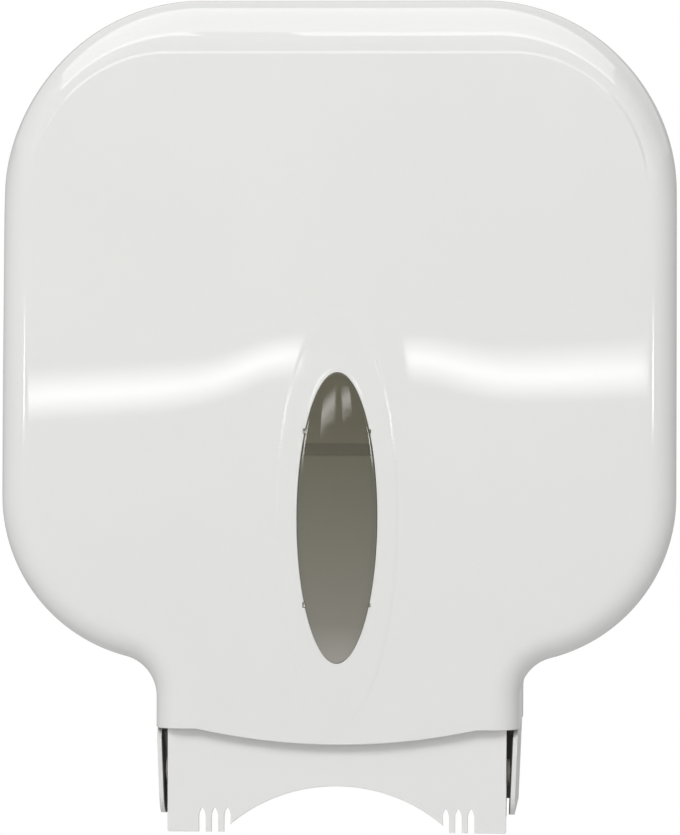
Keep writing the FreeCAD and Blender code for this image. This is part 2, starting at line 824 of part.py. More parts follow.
def make_lock_housing():
    """Lock housing: flange on top of the cover, threaded sleeve through it."""
    top = lock_top_z()
    flange = upright_rod(lock_flange_r, lock_depth, top, top + lock_flange_thick)
    sleeve = upright_rod(lock_body_r, lock_depth, lock_bottom_z, top + lock_flange_thick / 2)
    bore = upright_rod(lock_bore_r + lock_run_gap, lock_depth, lock_bottom_z - overrun,
                       top + overrun)
    return flange.fuse(sleeve).cut(bore)


def make_lock_nut():
    """Hexagonal nut that clamps the lock from below."""
    top = lock_under_z()
    radius = lock_nut_flats / math.sqrt(3)
    corners = [math.radians(60 * k) for k in range(6)]
    loop = [FreeCAD.Vector(radius * math.cos(a), radius * math.sin(a) - lock_depth,
                           top - lock_nut_thick) for a in corners]
    face = Part.Face(Part.makePolygon(loop + loop[:1]))
    nut = face.extrude(FreeCAD.Vector(0, 0, lock_nut_thick))
    return nut.cut(upright_rod(lock_body_r + tight_gap, lock_depth, lock_bottom_z, top + overrun))


def make_lock_barrel():
    """Lock barrel with its key slot, turning in the housing."""
    top = lock_top_z() + lock_flange_thick - lock_face_inset
    barrel = upright_rod(lock_bore_r, lock_depth, cam_top_z, top)
    slot = box(-lock_key_width / 2, lock_key_width / 2, lock_depth - lock_key_length / 2,
               lock_depth + lock_key_length / 2, top - lock_key_deep, top + overrun)
    pilot = upright_rod(cam_screw_r, lock_depth, cam_top_z - overrun, cam_top_z + cam_screw_bite)
    return barrel.cut(slot).cut(pilot)


def make_lock_cam():
    """Cam on the end of the barrel, its tongue towards the wall when unlocked."""
    bottom = cam_top_z - cam_thick
    half = cam_width / 2
    tip_depth = lock_depth - cam_length + half
    tongue = box(-half, half, tip_depth, lock_depth, bottom, cam_top_z)
    cam = tongue.fuse(upright_rod(lock_bore_r, lock_depth, bottom, cam_top_z))
    cam = cam.fuse(upright_rod(half, tip_depth, bottom, cam_top_z))
    hole = upright_rod(cam_screw_r + tight_gap, lock_depth, bottom - overrun, cam_top_z + overrun)
    return cam.cut(hole).removeSplitter()


def make_cam_screw():
    """Screw that holds the cam on the barrel."""
    bottom = cam_top_z - cam_thick
    head = upright_rod(cam_screw_head_r, lock_depth, bottom - cam_screw_head_thick, bottom)
    shaft = upright_rod(cam_screw_r - tight_gap, lock_depth, bottom,
                        cam_top_z + cam_screw_bite - lock_run_gap)
    return head.fuse(shaft)


def make_lock_keeper():
    """Bracket on the base with an upturned lip that the cam turns behind."""
    half = keeper_width / 2
    foot_half = keeper_foot_width / 2
    front = plate_thick + keeper_foot_thick
    foot = box(keeper_x - foot_half, keeper_x + foot_half, plate_thick, front, keeper_arm_z,
               keeper_arm_z + keeper_foot_height)
    arm = box(keeper_x - half, keeper_x + half, front - keeper_foot_thick / 2, keeper_front,
              keeper_arm_z, keeper_arm_z + keeper_arm_thick)
    lip = box(keeper_x - half, keeper_x + half, keeper_front - keeper_lip_thick, keeper_front,
              keeper_arm_z, keeper_arm_z + keeper_lip_height)
    keeper = foot.fuse(arm).fuse(lip)
    for z in keeper_screw_heights():
        keeper = keeper.cut(rod(screw_r + screw_gap, keeper_x, z, 0, front + overrun))
    return keeper.removeSplitter()


def make_keeper_screws():
    """Two screws that hold the keeper to the back plate."""
    front = plate_thick + keeper_foot_thick
    bite = keeper_foot_thick + plate_thick - 2 * seat_gap
    return group([screw(keeper_x, z, front, screw_r - tight_gap, screw_head_r, screw_head_thick,
                        bite, -1) for z in keeper_screw_heights()])


def make_spindle_axle():
    """Fixed axle for the roll hub: square flange on the platform, coned root, plain shaft."""
    front = platform_depth + axle_flange_thick
    flange = box(-axle_flange_half, axle_flange_half, platform_depth, front,
                 -axle_flange_half, axle_flange_half)
    flange = rounded_upright(flange, axle_corner_r, axis_out())
    shaft = rod(axle_r, 0, 0, front - axle_flange_thick / 2, axle_end)
    axle = flange.fuse(shaft)
    for x in [-axle_screw_off, axle_screw_off]:
        for z in [-axle_screw_off, axle_screw_off]:
            axle = axle.cut(rod(screw_r + screw_gap, x, z, 0, front + overrun))
    pilot = rod(hub_screw_r, 0, 0, axle_end - hub_screw_bite, axle_end + overrun)
    return axle.cut(pilot).removeSplitter()


def make_axle_screws():
    """Four screws that hold the axle's flange to the platform."""
    front = platform_depth + axle_flange_thick
    bite = axle_flange_thick + screw_bite - 2 * seat_gap
    places = [(x, z) for x in [-axle_screw_off, axle_screw_off] for z in [-axle_screw_off, axle_screw_off]]
    return group([screw(x, z, front, screw_r - tight_gap, screw_head_r, screw_head_thick, bite, -1)
                  for x, z in places])


def drag_washer_front():
    """Depth of the drag washer's free face."""
    return platform_depth + axle_flange_thick + drag_washer_thick


def make_drag_washer():
    """Felt-like washer on the axle's root that slows the hub."""
    return ring(drag_washer_r, axle_r + tight_gap, 0, 0, platform_depth + axle_flange_thick,
                drag_washer_front())


def make_spindle_hub():
    """Spinning hub: rear flange, tube for the roll's core, sleeve on the axle, ribs between."""
    start = drag_washer_front() + hub_start_gap
    flange_front = start + hub_flange_thick
    sleeve_r = axle_r + hub_run_gap + hub_sleeve_wall
    sleeve_end = axle_end - hub_end_gap
    flange = rod(hub_flange_r, 0, 0, start, flange_front)
    for k in range(hub_rib_count):
        turn = 2 * math.pi * (k + 1 / 2) / hub_rib_count
        hole = rod(hub_hole_r, hub_hole_ring_r * math.cos(turn), hub_hole_ring_r * math.sin(turn),
                   start - overrun, flange_front + overrun)
        flange = flange.cut(hole)
    tube = rod(hub_r, 0, 0, start, hub_end - hub_lead)
    nose = Part.makeCone(hub_r, hub_r - hub_lead / 2, hub_lead, at(0, hub_end - hub_lead, 0), axis_out())
    tube = tube.fuse(nose).cut(rod(hub_r - hub_wall, 0, 0, flange_front, hub_end + overrun))
    sleeve = rod(sleeve_r, 0, 0, start, sleeve_end)
    hub = flange.fuse(tube).fuse(sleeve)
    for k in range(hub_rib_count):
        rib = box(sleeve_r - hub_wall / 2, hub_r - hub_wall / 2, flange_front - hub_flange_thick / 2,
                  sleeve_end - hub_lead, -hub_rib_thick / 2, hub_rib_thick / 2)
        rib.rotate(at(0, 0, 0), axis_out(), 360 * k / hub_rib_count)
        hub = hub.fuse(rib)
    bore = rod(axle_r + hub_run_gap, 0, 0, start - overrun, hub_end + overrun)
    return hub.cut(bore).removeSplitter()


def make_hub_washer():
    """Washer on the end of the axle that keeps the hub on."""
    return ring(hub_washer_r, hub_screw_r + tight_gap, 0, 0, axle_end, axle_end + hub_washer_thick)


def make_hub_screw():
    """Screw in the end of the axle."""
    return screw(0, 0, axle_end + hub_washer_thick, hub_screw_r - tight_gap, hub_screw_head_r,
                 hub_screw_head_thick, hub_screw_bite, -1)


def main():
    os.makedirs("parts", exist_ok=True)
    pin = hinge_pin()
    washer = hinge_washer()
    pieces = {
        "back_plate": make_back_plate(),
        "front_cover": make_front_cover(),
        "window": make_window(),
        "tear_plate": make_tear_plate(),
        "tear_plate_screws": make_tear_plate_screws(),
        "hinge_pin_right": pin,
        "hinge_pin_left": mirrored(pin),
        "hinge_washers": group([washer, mirrored(washer)]),
        "lock_housing": make_lock_housing(),
        "lock_nut": make_lock_nut(),
        "lock_barrel": make_lock_barrel(),
        "lock_cam": make_lock_cam(),
        "cam_screw": make_cam_screw(),
        "lock_keeper": make_lock_keeper(),
        "keeper_screws": make_keeper_screws(),
        "spindle_axle": make_spindle_axle(),
        "axle_screws": make_axle_screws(),
        "drag_washer": make_drag_washer(),
        "spindle_hub": make_spindle_hub(),
        "hub_washer": make_hub_washer(),
        "hub_screw": make_hub_screw(),
    }
    for name, shape in pieces.items():
        shape.exportStep("parts/" + name + ".step")
        print(name, len(shape.Solids), shape.isValid(), round(shape.Volume))


main()
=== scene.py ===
"""Jumbo toilet roll dispenser, dressed for its picture.

Metres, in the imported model's frame: X to the right, Z up, the wall is the plane y = 0 and the room is
on the -Y side. "Depth" is the distance from the wall, so a point at depth d has y = -d.
"""

import logging
import math
from dataclasses import dataclass, field
from enum import Enum
from typing import Callable, Optional, Sequence

import bmesh
import bpy
import numpy as np
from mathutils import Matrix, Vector
from mathutils.geometry import delaunay_2d_cdt


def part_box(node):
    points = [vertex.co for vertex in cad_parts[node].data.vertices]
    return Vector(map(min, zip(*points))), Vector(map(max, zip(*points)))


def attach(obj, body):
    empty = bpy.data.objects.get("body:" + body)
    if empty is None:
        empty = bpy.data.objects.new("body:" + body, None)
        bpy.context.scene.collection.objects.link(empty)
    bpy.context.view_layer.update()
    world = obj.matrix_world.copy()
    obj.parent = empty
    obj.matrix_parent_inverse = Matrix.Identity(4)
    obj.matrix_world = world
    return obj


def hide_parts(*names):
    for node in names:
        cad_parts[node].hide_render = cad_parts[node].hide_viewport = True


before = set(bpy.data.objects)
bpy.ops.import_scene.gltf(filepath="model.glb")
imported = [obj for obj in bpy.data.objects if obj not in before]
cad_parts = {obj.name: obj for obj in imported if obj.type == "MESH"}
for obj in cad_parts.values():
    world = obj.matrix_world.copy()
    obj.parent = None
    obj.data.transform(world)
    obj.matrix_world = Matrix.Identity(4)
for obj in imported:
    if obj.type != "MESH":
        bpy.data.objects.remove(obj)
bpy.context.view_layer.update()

LOG = logging.getLogger("dispenser")
TURN = 2 * math.pi
PLASTIC_IOR = 1.5
WINDOW_IOR = 1.49
DUST_COLOUR = (0.62, 0.60, 0.56, 1.0)
# Painted shade colour for the inside of the paper outlet.
OUTLET_SHADE = (0.022, 0.019, 0.018, 1.0)
# Painted shade band and painted light at the foot of the smoked window.
PAINTED_WINDOW_SHADE_COLOUR = (0.04, 0.035, 0.02, 1.0)
PAINTED_WINDOW_LIGHT_COLOUR = (0.60, 0.58, 0.53, 1.0)
EDGE_FACES = 2
SHARP_ANGLE = math.radians(32.0)
FLAT_ANGLE = math.radians(0.4)
ON_AXIS = 1e-9
TEAR_SCREW_X = (-0.070, -0.025, 0.025, 0.070)


class Body(Enum):
    """Rigid bodies of the model that a piece can ride on."""

    BASE = "base"
    COVER = "cover"
    LOCK = "lock"
    HUB = "hub"


class Slot(Enum):
    """Material slots of the record."""

    BASE = "base_plastic"
    COVER = "cover_plastic"
    WINDOW = "smoked_window"
    TEAR = "tear_plastic"
    SCREW = "screw_steel"
    PIN = "pin_steel"
    NYLON = "washer_nylon"
    LOCK = "lock_metal"
    NUT = "nut_brass"
    BARREL = "barrel_steel"
    CAM = "cam_steel"
    KEEPER = "keeper_plastic"
    AXLE = "axle_plastic"
    FELT = "drag_felt"
    HUB = "hub_plastic"
    WASHER = "washer_steel"


class Graph:
    """A node tree with short calls for adding and joining nodes."""

    def __init__(self, tree: bpy.types.NodeTree) -> None:
        """Keep the tree and start empty.

        Args:
            tree: the node tree to fill.
        """
        self.tree = tree
        tree.nodes.clear()

    def add(self, kind: str, inputs: Optional[dict] = None, **settings: object) -> bpy.types.Node:
        """Add a node.

        Args:
            kind: the node's type name.
            inputs: values, or sockets to join, by input name or number.
            settings: the node's own properties.

        Returns:
            The new node.
        """
        node = self.tree.nodes.new(kind)
        for key, value in settings.items():
            setattr(node, key, value)
        for key, value in (inputs or {}).items():
            self.feed(node.inputs[key], value)
        return node

    def feed(self, socket: bpy.types.NodeSocket, value: object) -> None:
        """Set an input socket, or join it to an output socket.

        Args:
            socket: the input.
            value: a plain value or an output socket.
        """
        if isinstance(value, bpy.types.NodeSocket):
            self.tree.links.new(value, socket)
        else:
            socket.default_value = value

    def maths(self, operation: str, first: object, second: object = 0.0) -> bpy.types.NodeSocket:
        """Add a Math node and return its output."""
        node = self.add("ShaderNodeMath", {0: first, 1: second}, operation=operation)
        return node.outputs[0]

    def span(self, value: object, low: float, high: float, start: float = 0.0,
             end: float = 1.0) -> bpy.types.NodeSocket:
        """Map a value from one range to another, clamped.

        Args:
            value: the socket or number to map.
            low: what `start` becomes.
            high: what `end` becomes.
            start: lower end of the incoming range.
            end: upper end of the incoming range.

        Returns:
            The mapped value's socket.
        """
        node = self.add("ShaderNodeMapRange", {"Value": value, "From Min": start, "From Max": end,
                                               "To Min": low, "To Max": high})
        return node.outputs["Result"]

    def blend(self, share: object, first: object, second: object) -> bpy.types.NodeSocket:
        """Mix two colours and return the colour socket."""
        node = self.add("ShaderNodeMix", data_type="RGBA")
        self.feed(node.inputs["Factor"], share)
        self.feed(node.inputs["A"], first)
        self.feed(node.inputs["B"], second)
        return next(s for s in node.outputs if s.type == "RGBA")

    def surface(self, shader: bpy.types.Node, kind: str = "ShaderNodeOutputMaterial") -> None:
        """End the tree with a shader."""
        self.tree.links.new(shader.outputs[0], self.add(kind).inputs["Surface"])

    def dent(self, shader: bpy.types.Node, height: object, depth: float) -> None:
        """Give a shader a bump of a real depth."""
        bump = self.add("ShaderNodeBump", {"Height": height, "Strength": 1.0, "Distance": depth})
        self.feed(shader.inputs["Normal"], bump.outputs["Normal"])


def shader_group(name: str, inputs: Sequence[tuple], outputs: Sequence[tuple]) -> tuple:
    """Start a shader node group with named sockets.

    Args:
        name: the group's name.
        inputs: (name, socket type, default or None) for each input.
        outputs: (name, socket type) for each output.

    Returns:
        The group's Graph, its input node and its output node.
    """
    tree = bpy.data.node_groups.new(name, "ShaderNodeTree")
    for label, kind, default in inputs:
        socket = tree.interface.new_socket(label, in_out="INPUT", socket_type=kind)
        if default is not None:
            socket.default_value = default
    for label, kind in outputs:
        tree.interface.new_socket(label, in_out="OUTPUT", socket_type=kind)
    graph = Graph(tree)
    return graph, graph.add("NodeGroupInput"), graph.add("NodeGroupOutput")


class Effects:
    """Shader node groups shared by the finishes, each built once."""

    def __init__(self) -> None:
        """Build every group."""
        self.grain = self._grain()
        self.handling = self._handling()
        self.dust = self._dust()
        self.turning = self._turning()

    def _grain(self) -> bpy.types.NodeTree:
        """Fine moulding texture: a height and a slow cloudy mask."""
        g, start, end = shader_group(
            "moulding_grain",
            [("Vector", "NodeSocketVector", None), ("Scale", "NodeSocketFloat", 900.0),
             ("Cloud Scale", "NodeSocketFloat", 9.0)],
            [("Height", "NodeSocketFloat"), ("Cloud", "NodeSocketFloat")])
        fine = g.add("ShaderNodeTexNoise", {"Vector": start.outputs["Vector"],
                                            "Scale": start.outputs["Scale"], "Detail": 3.0,
                                            "Roughness": 0.55})
        cloud = g.add("ShaderNodeTexNoise", {"Vector": start.outputs["Vector"],
                                             "Scale": start.outputs["Cloud Scale"], "Detail": 4.0,
                                             "Roughness": 0.5, "Distortion": 0.4})
        g.feed(end.inputs["Height"], fine.outputs["Fac"])
        g.feed(end.inputs["Cloud"], g.span(cloud.outputs["Fac"], 0.0, 1.0, 0.3, 0.7))
        return g.tree

    def _handling(self) -> bpy.types.NodeTree:
        """Wiping marks and fine hairlines: a mask that is mostly dark."""
        g, start, end = shader_group(
            "handling_marks",
            [("Vector", "NodeSocketVector", None), ("Scale", "NodeSocketFloat", 26.0)],
            [("Smear", "NodeSocketFloat"), ("Hairline", "NodeSocketFloat")])
        scale = g.add("ShaderNodeVectorMath", {0: start.outputs["Vector"], 1: (1.0, 1.0, 0.35)},
                      operation="MULTIPLY")
        smear = g.add("ShaderNodeTexNoise", {"Vector": scale.outputs[0],
                                             "Scale": start.outputs["Scale"], "Detail": 5.0,
                                             "Distortion": 1.2})
        lines = g.add("ShaderNodeTexWave", {"Vector": start.outputs["Vector"], "Scale": 40.0,
                                            "Distortion": 14.0, "Detail": 3.0, "Detail Scale": 0.6},
                      wave_type="BANDS", bands_direction="DIAGONAL")
        hair = g.span(lines.outputs["Fac"], 0.0, 1.0, 0.985, 1.0)
        g.feed(end.inputs["Smear"], g.span(smear.outputs["Fac"], 0.0, 1.0, 0.52, 0.72))
        g.feed(end.inputs["Hairline"], hair)
        return g.tree

    def _dust(self) -> bpy.types.NodeTree:
        """Dust that settles on faces that look up: a mask."""
        g, start, end = shader_group(
            "settled_dust", [("Vector", "NodeSocketVector", None), ("Amount", "NodeSocketFloat", 0.5)],
            [("Mask", "NodeSocketFloat")])
        geometry = g.add("ShaderNodeNewGeometry")
        split = g.add("ShaderNodeSeparateXYZ", {"Vector": geometry.outputs["Normal"]})
        up = g.span(split.outputs["Z"], 0.0, 1.0, 0.55, 0.98)
        speck = g.add("ShaderNodeTexNoise", {"Vector": start.outputs["Vector"], "Scale": 420.0,
                                             "Detail": 2.0})
        patch = g.span(speck.outputs["Fac"], 0.0, 1.0, 0.4, 0.75)
        g.feed(end.inputs["Mask"], g.maths("MULTIPLY", g.maths("MULTIPLY", up, patch),
                                          start.outputs["Amount"]))
        return g.tree

    def _turning(self) -> bpy.types.NodeTree:
        """Fine parallel tool marks on metal: a height and a brightness mask."""
        g, start, end = shader_group(
            "tool_marks", [("Vector", "NodeSocketVector", None), ("Stretch", "NodeSocketVector",
                                                                 (1.0, 40.0, 1.0))],
            [("Height", "NodeSocketFloat"), ("Tint", "NodeSocketFloat")])
        pulled = g.add("ShaderNodeVectorMath", {0: start.outputs["Vector"],
                                                1: start.outputs["Stretch"]}, operation="MULTIPLY")
        marks = g.add("ShaderNodeTexNoise", {"Vector": pulled.outputs[0], "Scale": 110.0,
                                             "Detail": 4.0, "Roughness": 0.6})
        blot = g.add("ShaderNodeTexNoise", {"Vector": start.outputs["Vector"], "Scale": 60.0,
                                            "Detail": 2.0})
        g.feed(end.inputs["Height"], marks.outputs["Fac"])
        g.feed(end.inputs["Tint"], g.span(blot.outputs["Fac"], 0.0, 1.0, 0.35, 0.65))
        return g.tree


def bare_material(name: str) -> tuple:
    """Make a material with an empty tree.

    Args:
        name: the material's name.

    Returns:
        The material and its Graph.
    """
    material = bpy.data.materials.new(name)
    material.use_nodes = True
    return material, Graph(material.node_tree)


def start_material(name: str) -> tuple:
    """Start a material on a Principled BSDF.

    Args:
        name: the material's name.

    Returns:
        The material, its Graph, the Principled BSDF and the object coordinates' socket.
    """
    material, graph = bare_material(name)
    shader = graph.add("ShaderNodeBsdfPrincipled")
    graph.surface(shader)
    place = graph.add("ShaderNodeTexCoord").outputs["Object"]
    return material, graph, shader, place


def placed(graph: Graph, group: bpy.types.NodeTree, inputs: dict) -> bpy.types.Node:
    """Add a shared group to a material.

    Args:
        graph: the material's graph.
        group: the group.
        inputs: its values and links by name.

    Returns:
        The group's node.
    """
    node = graph.add("ShaderNodeGroup", node_tree=group)
    for key, value in inputs.items():
        graph.feed(node.inputs[key], value)
    return node


@dataclass(frozen=True)
class MouldedFinish:
    """Injection-moulded plastic, with painted shade inside the paper outlet where one is given."""

    name: str
    colour: tuple
    shade: tuple
    roughness: float
    rough_change: float
    grain_scale: float
    grain_depth: float
    dust: float = 0.15
    smear: float = 0.06
    specular: float = 0.5
    # Painted shade inside the paper outlet: half-widths and heights of the shaded band.
    painted_outlet_shade: tuple = ()

    def with_painted_outlet_shade(self, g: Graph, place: object, colour: object) -> bpy.types.NodeSocket:
        """Paint shade on the inner faces of the paper outlet, whose walls draw in towards the bottom: painted
        shade for the shadow in the slits beside the tear plate.

        Args:
            g: the material's graph.
            place: object coordinates.
            colour: colour of the rest.

        Returns:
            The colour's socket.
        """
        low_half, top_half, low_z, top_z = self.painted_outlet_shade
        split = g.add("ShaderNodeSeparateXYZ", {"Vector": place})
        limit = g.span(split.outputs["Z"], low_half, top_half, low_z, top_z)
        past = g.maths("SUBTRACT", g.maths("ABSOLUTE", split.outputs["X"]), limit)
        near = g.maths("MULTIPLY", g.span(past, 1.0, 0.0, 0.0001, 0.0004),
                       g.span(past, 0.0, 1.0, -0.014, -0.005))
        low = g.span(split.outputs["Z"], 1.0, 0.0, top_z + 0.016, top_z + 0.030)
        front = g.span(split.outputs["Y"], 1.0, 0.0, -0.095, -0.060)
        rear = g.span(split.outputs["Y"], 0.0, 1.0, -0.008, -0.004)
        inside = g.span(split.outputs["Y"], 1.0, 0.0, -0.0022, -0.0012)
        deep = g.maths("MULTIPLY", g.maths("MAXIMUM", front, rear), inside)
        share = g.maths("MULTIPLY", g.maths("MULTIPLY", near, low), deep)
        return g.blend(share, colour, OUTLET_SHADE)

    def build(self, effects: Effects) -> bpy.types.Material:
        """Build the material.

        Args:
            effects: the shared node groups.

        Returns:
            The material.
        """
        material, g, shader, place = start_material(self.name)
        grain = placed(g, effects.grain, {"Vector": place, "Scale": self.grain_scale})
        marks = placed(g, effects.handling, {"Vector": place})
        dust = placed(g, effects.dust, {"Vector": place, "Amount": self.dust})
        base = g.blend(grain.outputs["Cloud"], (*self.colour, 1.0), (*self.shade, 1.0))
        grey = g.blend(dust.outputs["Mask"], base, DUST_COLOUR)
        # The base's outlet gets its painted shade here.
        g.feed(shader.inputs["Base Color"], self.with_painted_outlet_shade(g, place, grey) if self.painted_outlet_shade else grey)
        rough = g.span(grain.outputs["Cloud"], self.roughness, self.roughness + self.rough_change)
        rough = g.maths("ADD", rough, g.maths("MULTIPLY", marks.outputs["Smear"], self.smear))
        rough = g.maths("ADD", rough, g.maths("MULTIPLY", dust.outputs["Mask"], 0.5))
        g.feed(shader.inputs["Roughness"], rough)
        g.dent(shader, grain.outputs["Height"], self.grain_depth)
        shader.inputs["IOR"].default_value = PLASTIC_IOR
        shader.inputs["Specular IOR Level"].default_value = self.specular
        return material


@dataclass(frozen=True)
class MetalFinish:
    """Plated, turned or brushed metal."""

    name: str
    colour: tuple
    shade: tuple
    roughness: float
    stretch: tuple = (1.0, 40.0, 1.0)
    mark_depth: float = 0.00001

    def build(self, effects: Effects) -> bpy.types.Material:
        """Build the material.

        Args:
            effects: the shared node groups.

        Returns:
            The material.
        """
        material, g, shader, place = start_material(self.name)
        marks = placed(g, effects.turning, {"Vector": place, "Stretch": self.stretch})
        tint = g.blend(marks.outputs["Tint"], (*self.colour, 1.0), (*self.shade, 1.0))
        g.feed(shader.inputs["Base Color"], tint)
        shader.inputs["Metallic"].default_value = 1.0
        g.feed(shader.inputs["Roughness"],
               g.span(marks.outputs["Height"], self.roughness * 0.8, self.roughness * 1.3, 0.3, 0.7))
        g.dent(shader, marks.outputs["Height"], self.mark_depth)
        return material


@dataclass(frozen=True)
class SmokedFinish:
    """Smoked clear plastic of the window, its colour with painted shade and painted light of the inside seen
    through it: darker at the top, a dark band, pale at the foot.
    """

    name: str
    # top is the painted shade tone, foot the painted light tone.
    top: tuple
    foot: tuple
    top_z: float
    foot_z: float
    band_z: float = -0.0602
    band_half: float = 0.0034
    roughness: float = 0.03
    transmission: float = 0.5

    def build(self, effects: Effects) -> bpy.types.Material:
        """Build the material.

        Args:
            effects: the shared node groups.

        Returns:
            The material.
        """
        material, g, shader, place = start_material(self.name)
        grain = placed(g, effects.grain, {"Vector": place, "Scale": 260.0, "Cloud Scale": 40.0})
        marks = placed(g, effects.handling, {"Vector": place, "Scale": 60.0})
        split = g.add("ShaderNodeSeparateXYZ", {"Vector": place})
        # Painted shade and painted light: the tone darkens towards the top, a dark band crosses it and the
        # foot is painted pale.
        rise = g.span(split.outputs["Z"], 0.0, 1.0, self.foot_z, self.top_z)
        tone = g.blend(rise, (*self.foot, 1.0), (*self.top, 1.0))
        off = g.maths("ABSOLUTE", g.maths("SUBTRACT", split.outputs["Z"], self.band_z))
        band = g.span(off, 0.32, 0.0, self.band_half - 0.0005, self.band_half + 0.0005)
        tone = g.blend(band, tone, PAINTED_WINDOW_SHADE_COLOUR)
        pale = g.span(split.outputs["Z"], 0.75, 0.0, self.foot_z - 0.009, self.foot_z + 0.012)
        tone = g.blend(pale, tone, PAINTED_WINDOW_LIGHT_COLOUR)
        g.feed(shader.inputs["Base Color"], tone)
        g.feed(shader.inputs["Roughness"],
               g.maths("ADD", g.maths("MULTIPLY", marks.outputs["Smear"], 0.05), self.roughness))
        g.dent(shader, grain.outputs["Cloud"], 0.00002)
        shader.inputs["IOR"].default_value = WINDOW_IOR
        shader.inputs["Transmission Weight"].default_value = self.transmission
        return material


@dataclass(frozen=True)
class FeltFinish:
    """Pressed felt of the drag washer."""

    name: str
    colour: tuple
    shade: tuple

    def build(self, effects: Effects) -> bpy.types.Material:
        """Build the material.

        Args:
            effects: the shared node groups.

        Returns:
            The material.
        """
        material, g, shader, place = start_material(self.name)
        grain = placed(g, effects.grain, {"Vector": place, "Scale": 1400.0, "Cloud Scale": 300.0})
        g.feed(shader.inputs["Base Color"],
               g.blend(grain.outputs["Cloud"], (*self.colour, 1.0), (*self.shade, 1.0)))
        g.feed(shader.inputs["Roughness"], g.span(grain.outputs["Height"], 0.85, 1.0))
        g.dent(shader, grain.outputs["Height"], 0.0004)
        shader.inputs["Sheen Weight"].default_value = 0.4
        return material


class Finishes:
    """All the finishes, by the record's material slot."""

    def __init__(self) -> None:
        """Build every material."""
        effects = Effects()
        white = (0.775, 0.775, 0.757)
        white_low = (0.760, 0.760, 0.742)
        plans = {
            Slot.COVER: MouldedFinish("glossy_cover_plastic", white, white_low, roughness=0.02,
                                      rough_change=0.012, grain_scale=420.0, grain_depth=0.0000008,
                                      dust=0.10, smear=0.015),
            Slot.TEAR: MouldedFinish("glossy_tear_plastic", (0.785, 0.785, 0.77), (0.77, 0.77, 0.755),
                                     roughness=0.16, rough_change=0.04, grain_scale=620.0,
                                     grain_depth=0.000003, dust=0.08, smear=0.05),
            # The base's last value paints shade on the inner faces of the paper outlet.
            Slot.BASE: MouldedFinish("satin_base_plastic_painted_shade", (0.74, 0.74, 0.72), (0.72, 0.72, 0.70),
                                     roughness=0.34, rough_change=0.08, grain_scale=900.0,
                                     grain_depth=0.000012, dust=0.25, smear=0.08,
                                     painted_outlet_shade=(0.0916, 0.0935, -0.2545, -0.208)),
            Slot.KEEPER: MouldedFinish("satin_keeper_plastic", (0.70, 0.70, 0.68), (0.67, 0.67, 0.65),
                                       roughness=0.36, rough_change=0.08, grain_scale=900.0,
                                       grain_depth=0.00001),
            Slot.AXLE: MouldedFinish("filled_axle_plastic", (0.20, 0.205, 0.21), (0.17, 0.175, 0.18),
                                     roughness=0.42, rough_change=0.12, grain_scale=700.0,
                                     grain_depth=0.00003),
            Slot.HUB: MouldedFinish("satin_hub_plastic", (0.27, 0.28, 0.29), (0.24, 0.25, 0.26),
                                    roughness=0.38, rough_change=0.1, grain_scale=800.0,
                                    grain_depth=0.00002),
            Slot.NYLON: MouldedFinish("natural_nylon", (0.76, 0.74, 0.66), (0.72, 0.69, 0.60),
                                      roughness=0.4, rough_change=0.1, grain_scale=700.0,
                                      grain_depth=0.00001),
            # The window's tone is painted shade at the top and painted light at the foot.
            Slot.WINDOW: SmokedFinish("smoked_window_painted_shade_and_light", (0.21, 0.198, 0.135),
                                      (0.40, 0.385, 0.33), top_z=-0.045, foot_z=-0.165),
            Slot.SCREW: MetalFinish("zinc_screw_steel", (0.62, 0.62, 0.62), (0.52, 0.53, 0.54), 0.3),
            Slot.PIN: MetalFinish("ground_pin_steel", (0.6, 0.6, 0.6), (0.5, 0.5, 0.5), 0.22,
                                  stretch=(40.0, 1.0, 1.0)),
            Slot.LOCK: MetalFinish("plated_lock_metal", (0.72, 0.72, 0.71), (0.66, 0.66, 0.65), 0.12,
                                   stretch=(1.0, 1.0, 30.0), mark_depth=0.000004),
            Slot.NUT: MetalFinish("machined_nut_brass", (0.62, 0.44, 0.18), (0.52, 0.36, 0.14), 0.3,
                                  stretch=(1.0, 1.0, 30.0)),
            Slot.BARREL: MetalFinish("turned_barrel_steel", (0.66, 0.66, 0.66), (0.58, 0.58, 0.58),
                                     0.2, stretch=(1.0, 1.0, 60.0)),
            Slot.CAM: MetalFinish("pressed_cam_steel", (0.5, 0.47, 0.38), (0.42, 0.41, 0.36), 0.34),
            Slot.WASHER: MetalFinish("stamped_washer_steel", (0.58, 0.58, 0.58), (0.5, 0.5, 0.5),
                                     0.32, stretch=(30.0, 1.0, 1.0)),
            Slot.FELT: FeltFinish("pressed_felt", (0.10, 0.10, 0.105), (0.06, 0.06, 0.065)),
        }
        self.materials = {slot: plan.build(effects) for slot, plan in plans.items()}

    def of(self, slot: Slot) -> bpy.types.Material:
        """Return the material of a slot."""
        return self.materials[slot]


def linked(name: str, data: bpy.types.ID) -> bpy.types.Object:
    """Make an object from its data and link it to the scene."""
    obj = bpy.data.objects.new(name, data)
    bpy.context.scene.collection.objects.link(obj)
    return obj


def band_faces(low: Sequence[int], high: Sequence[int], closed: bool = True) -> list:
    """Make the faces between two rows of vertices.

    Args:
        low: vertex numbers of one row.
        high: vertex numbers of the other row.
        closed: whether the rows run round to their start.

    Returns:
        The faces.
    """
    count = len(low)
    return [[low[k], low[(k + 1) % count], high[(k + 1) % count], high[k]]
            for k in range(count if closed else count - 1)]


def smooth(share: object) -> object:
    """Ease a share of 0 to 1 in and out."""
    return share * share * (3 - 2 * share)


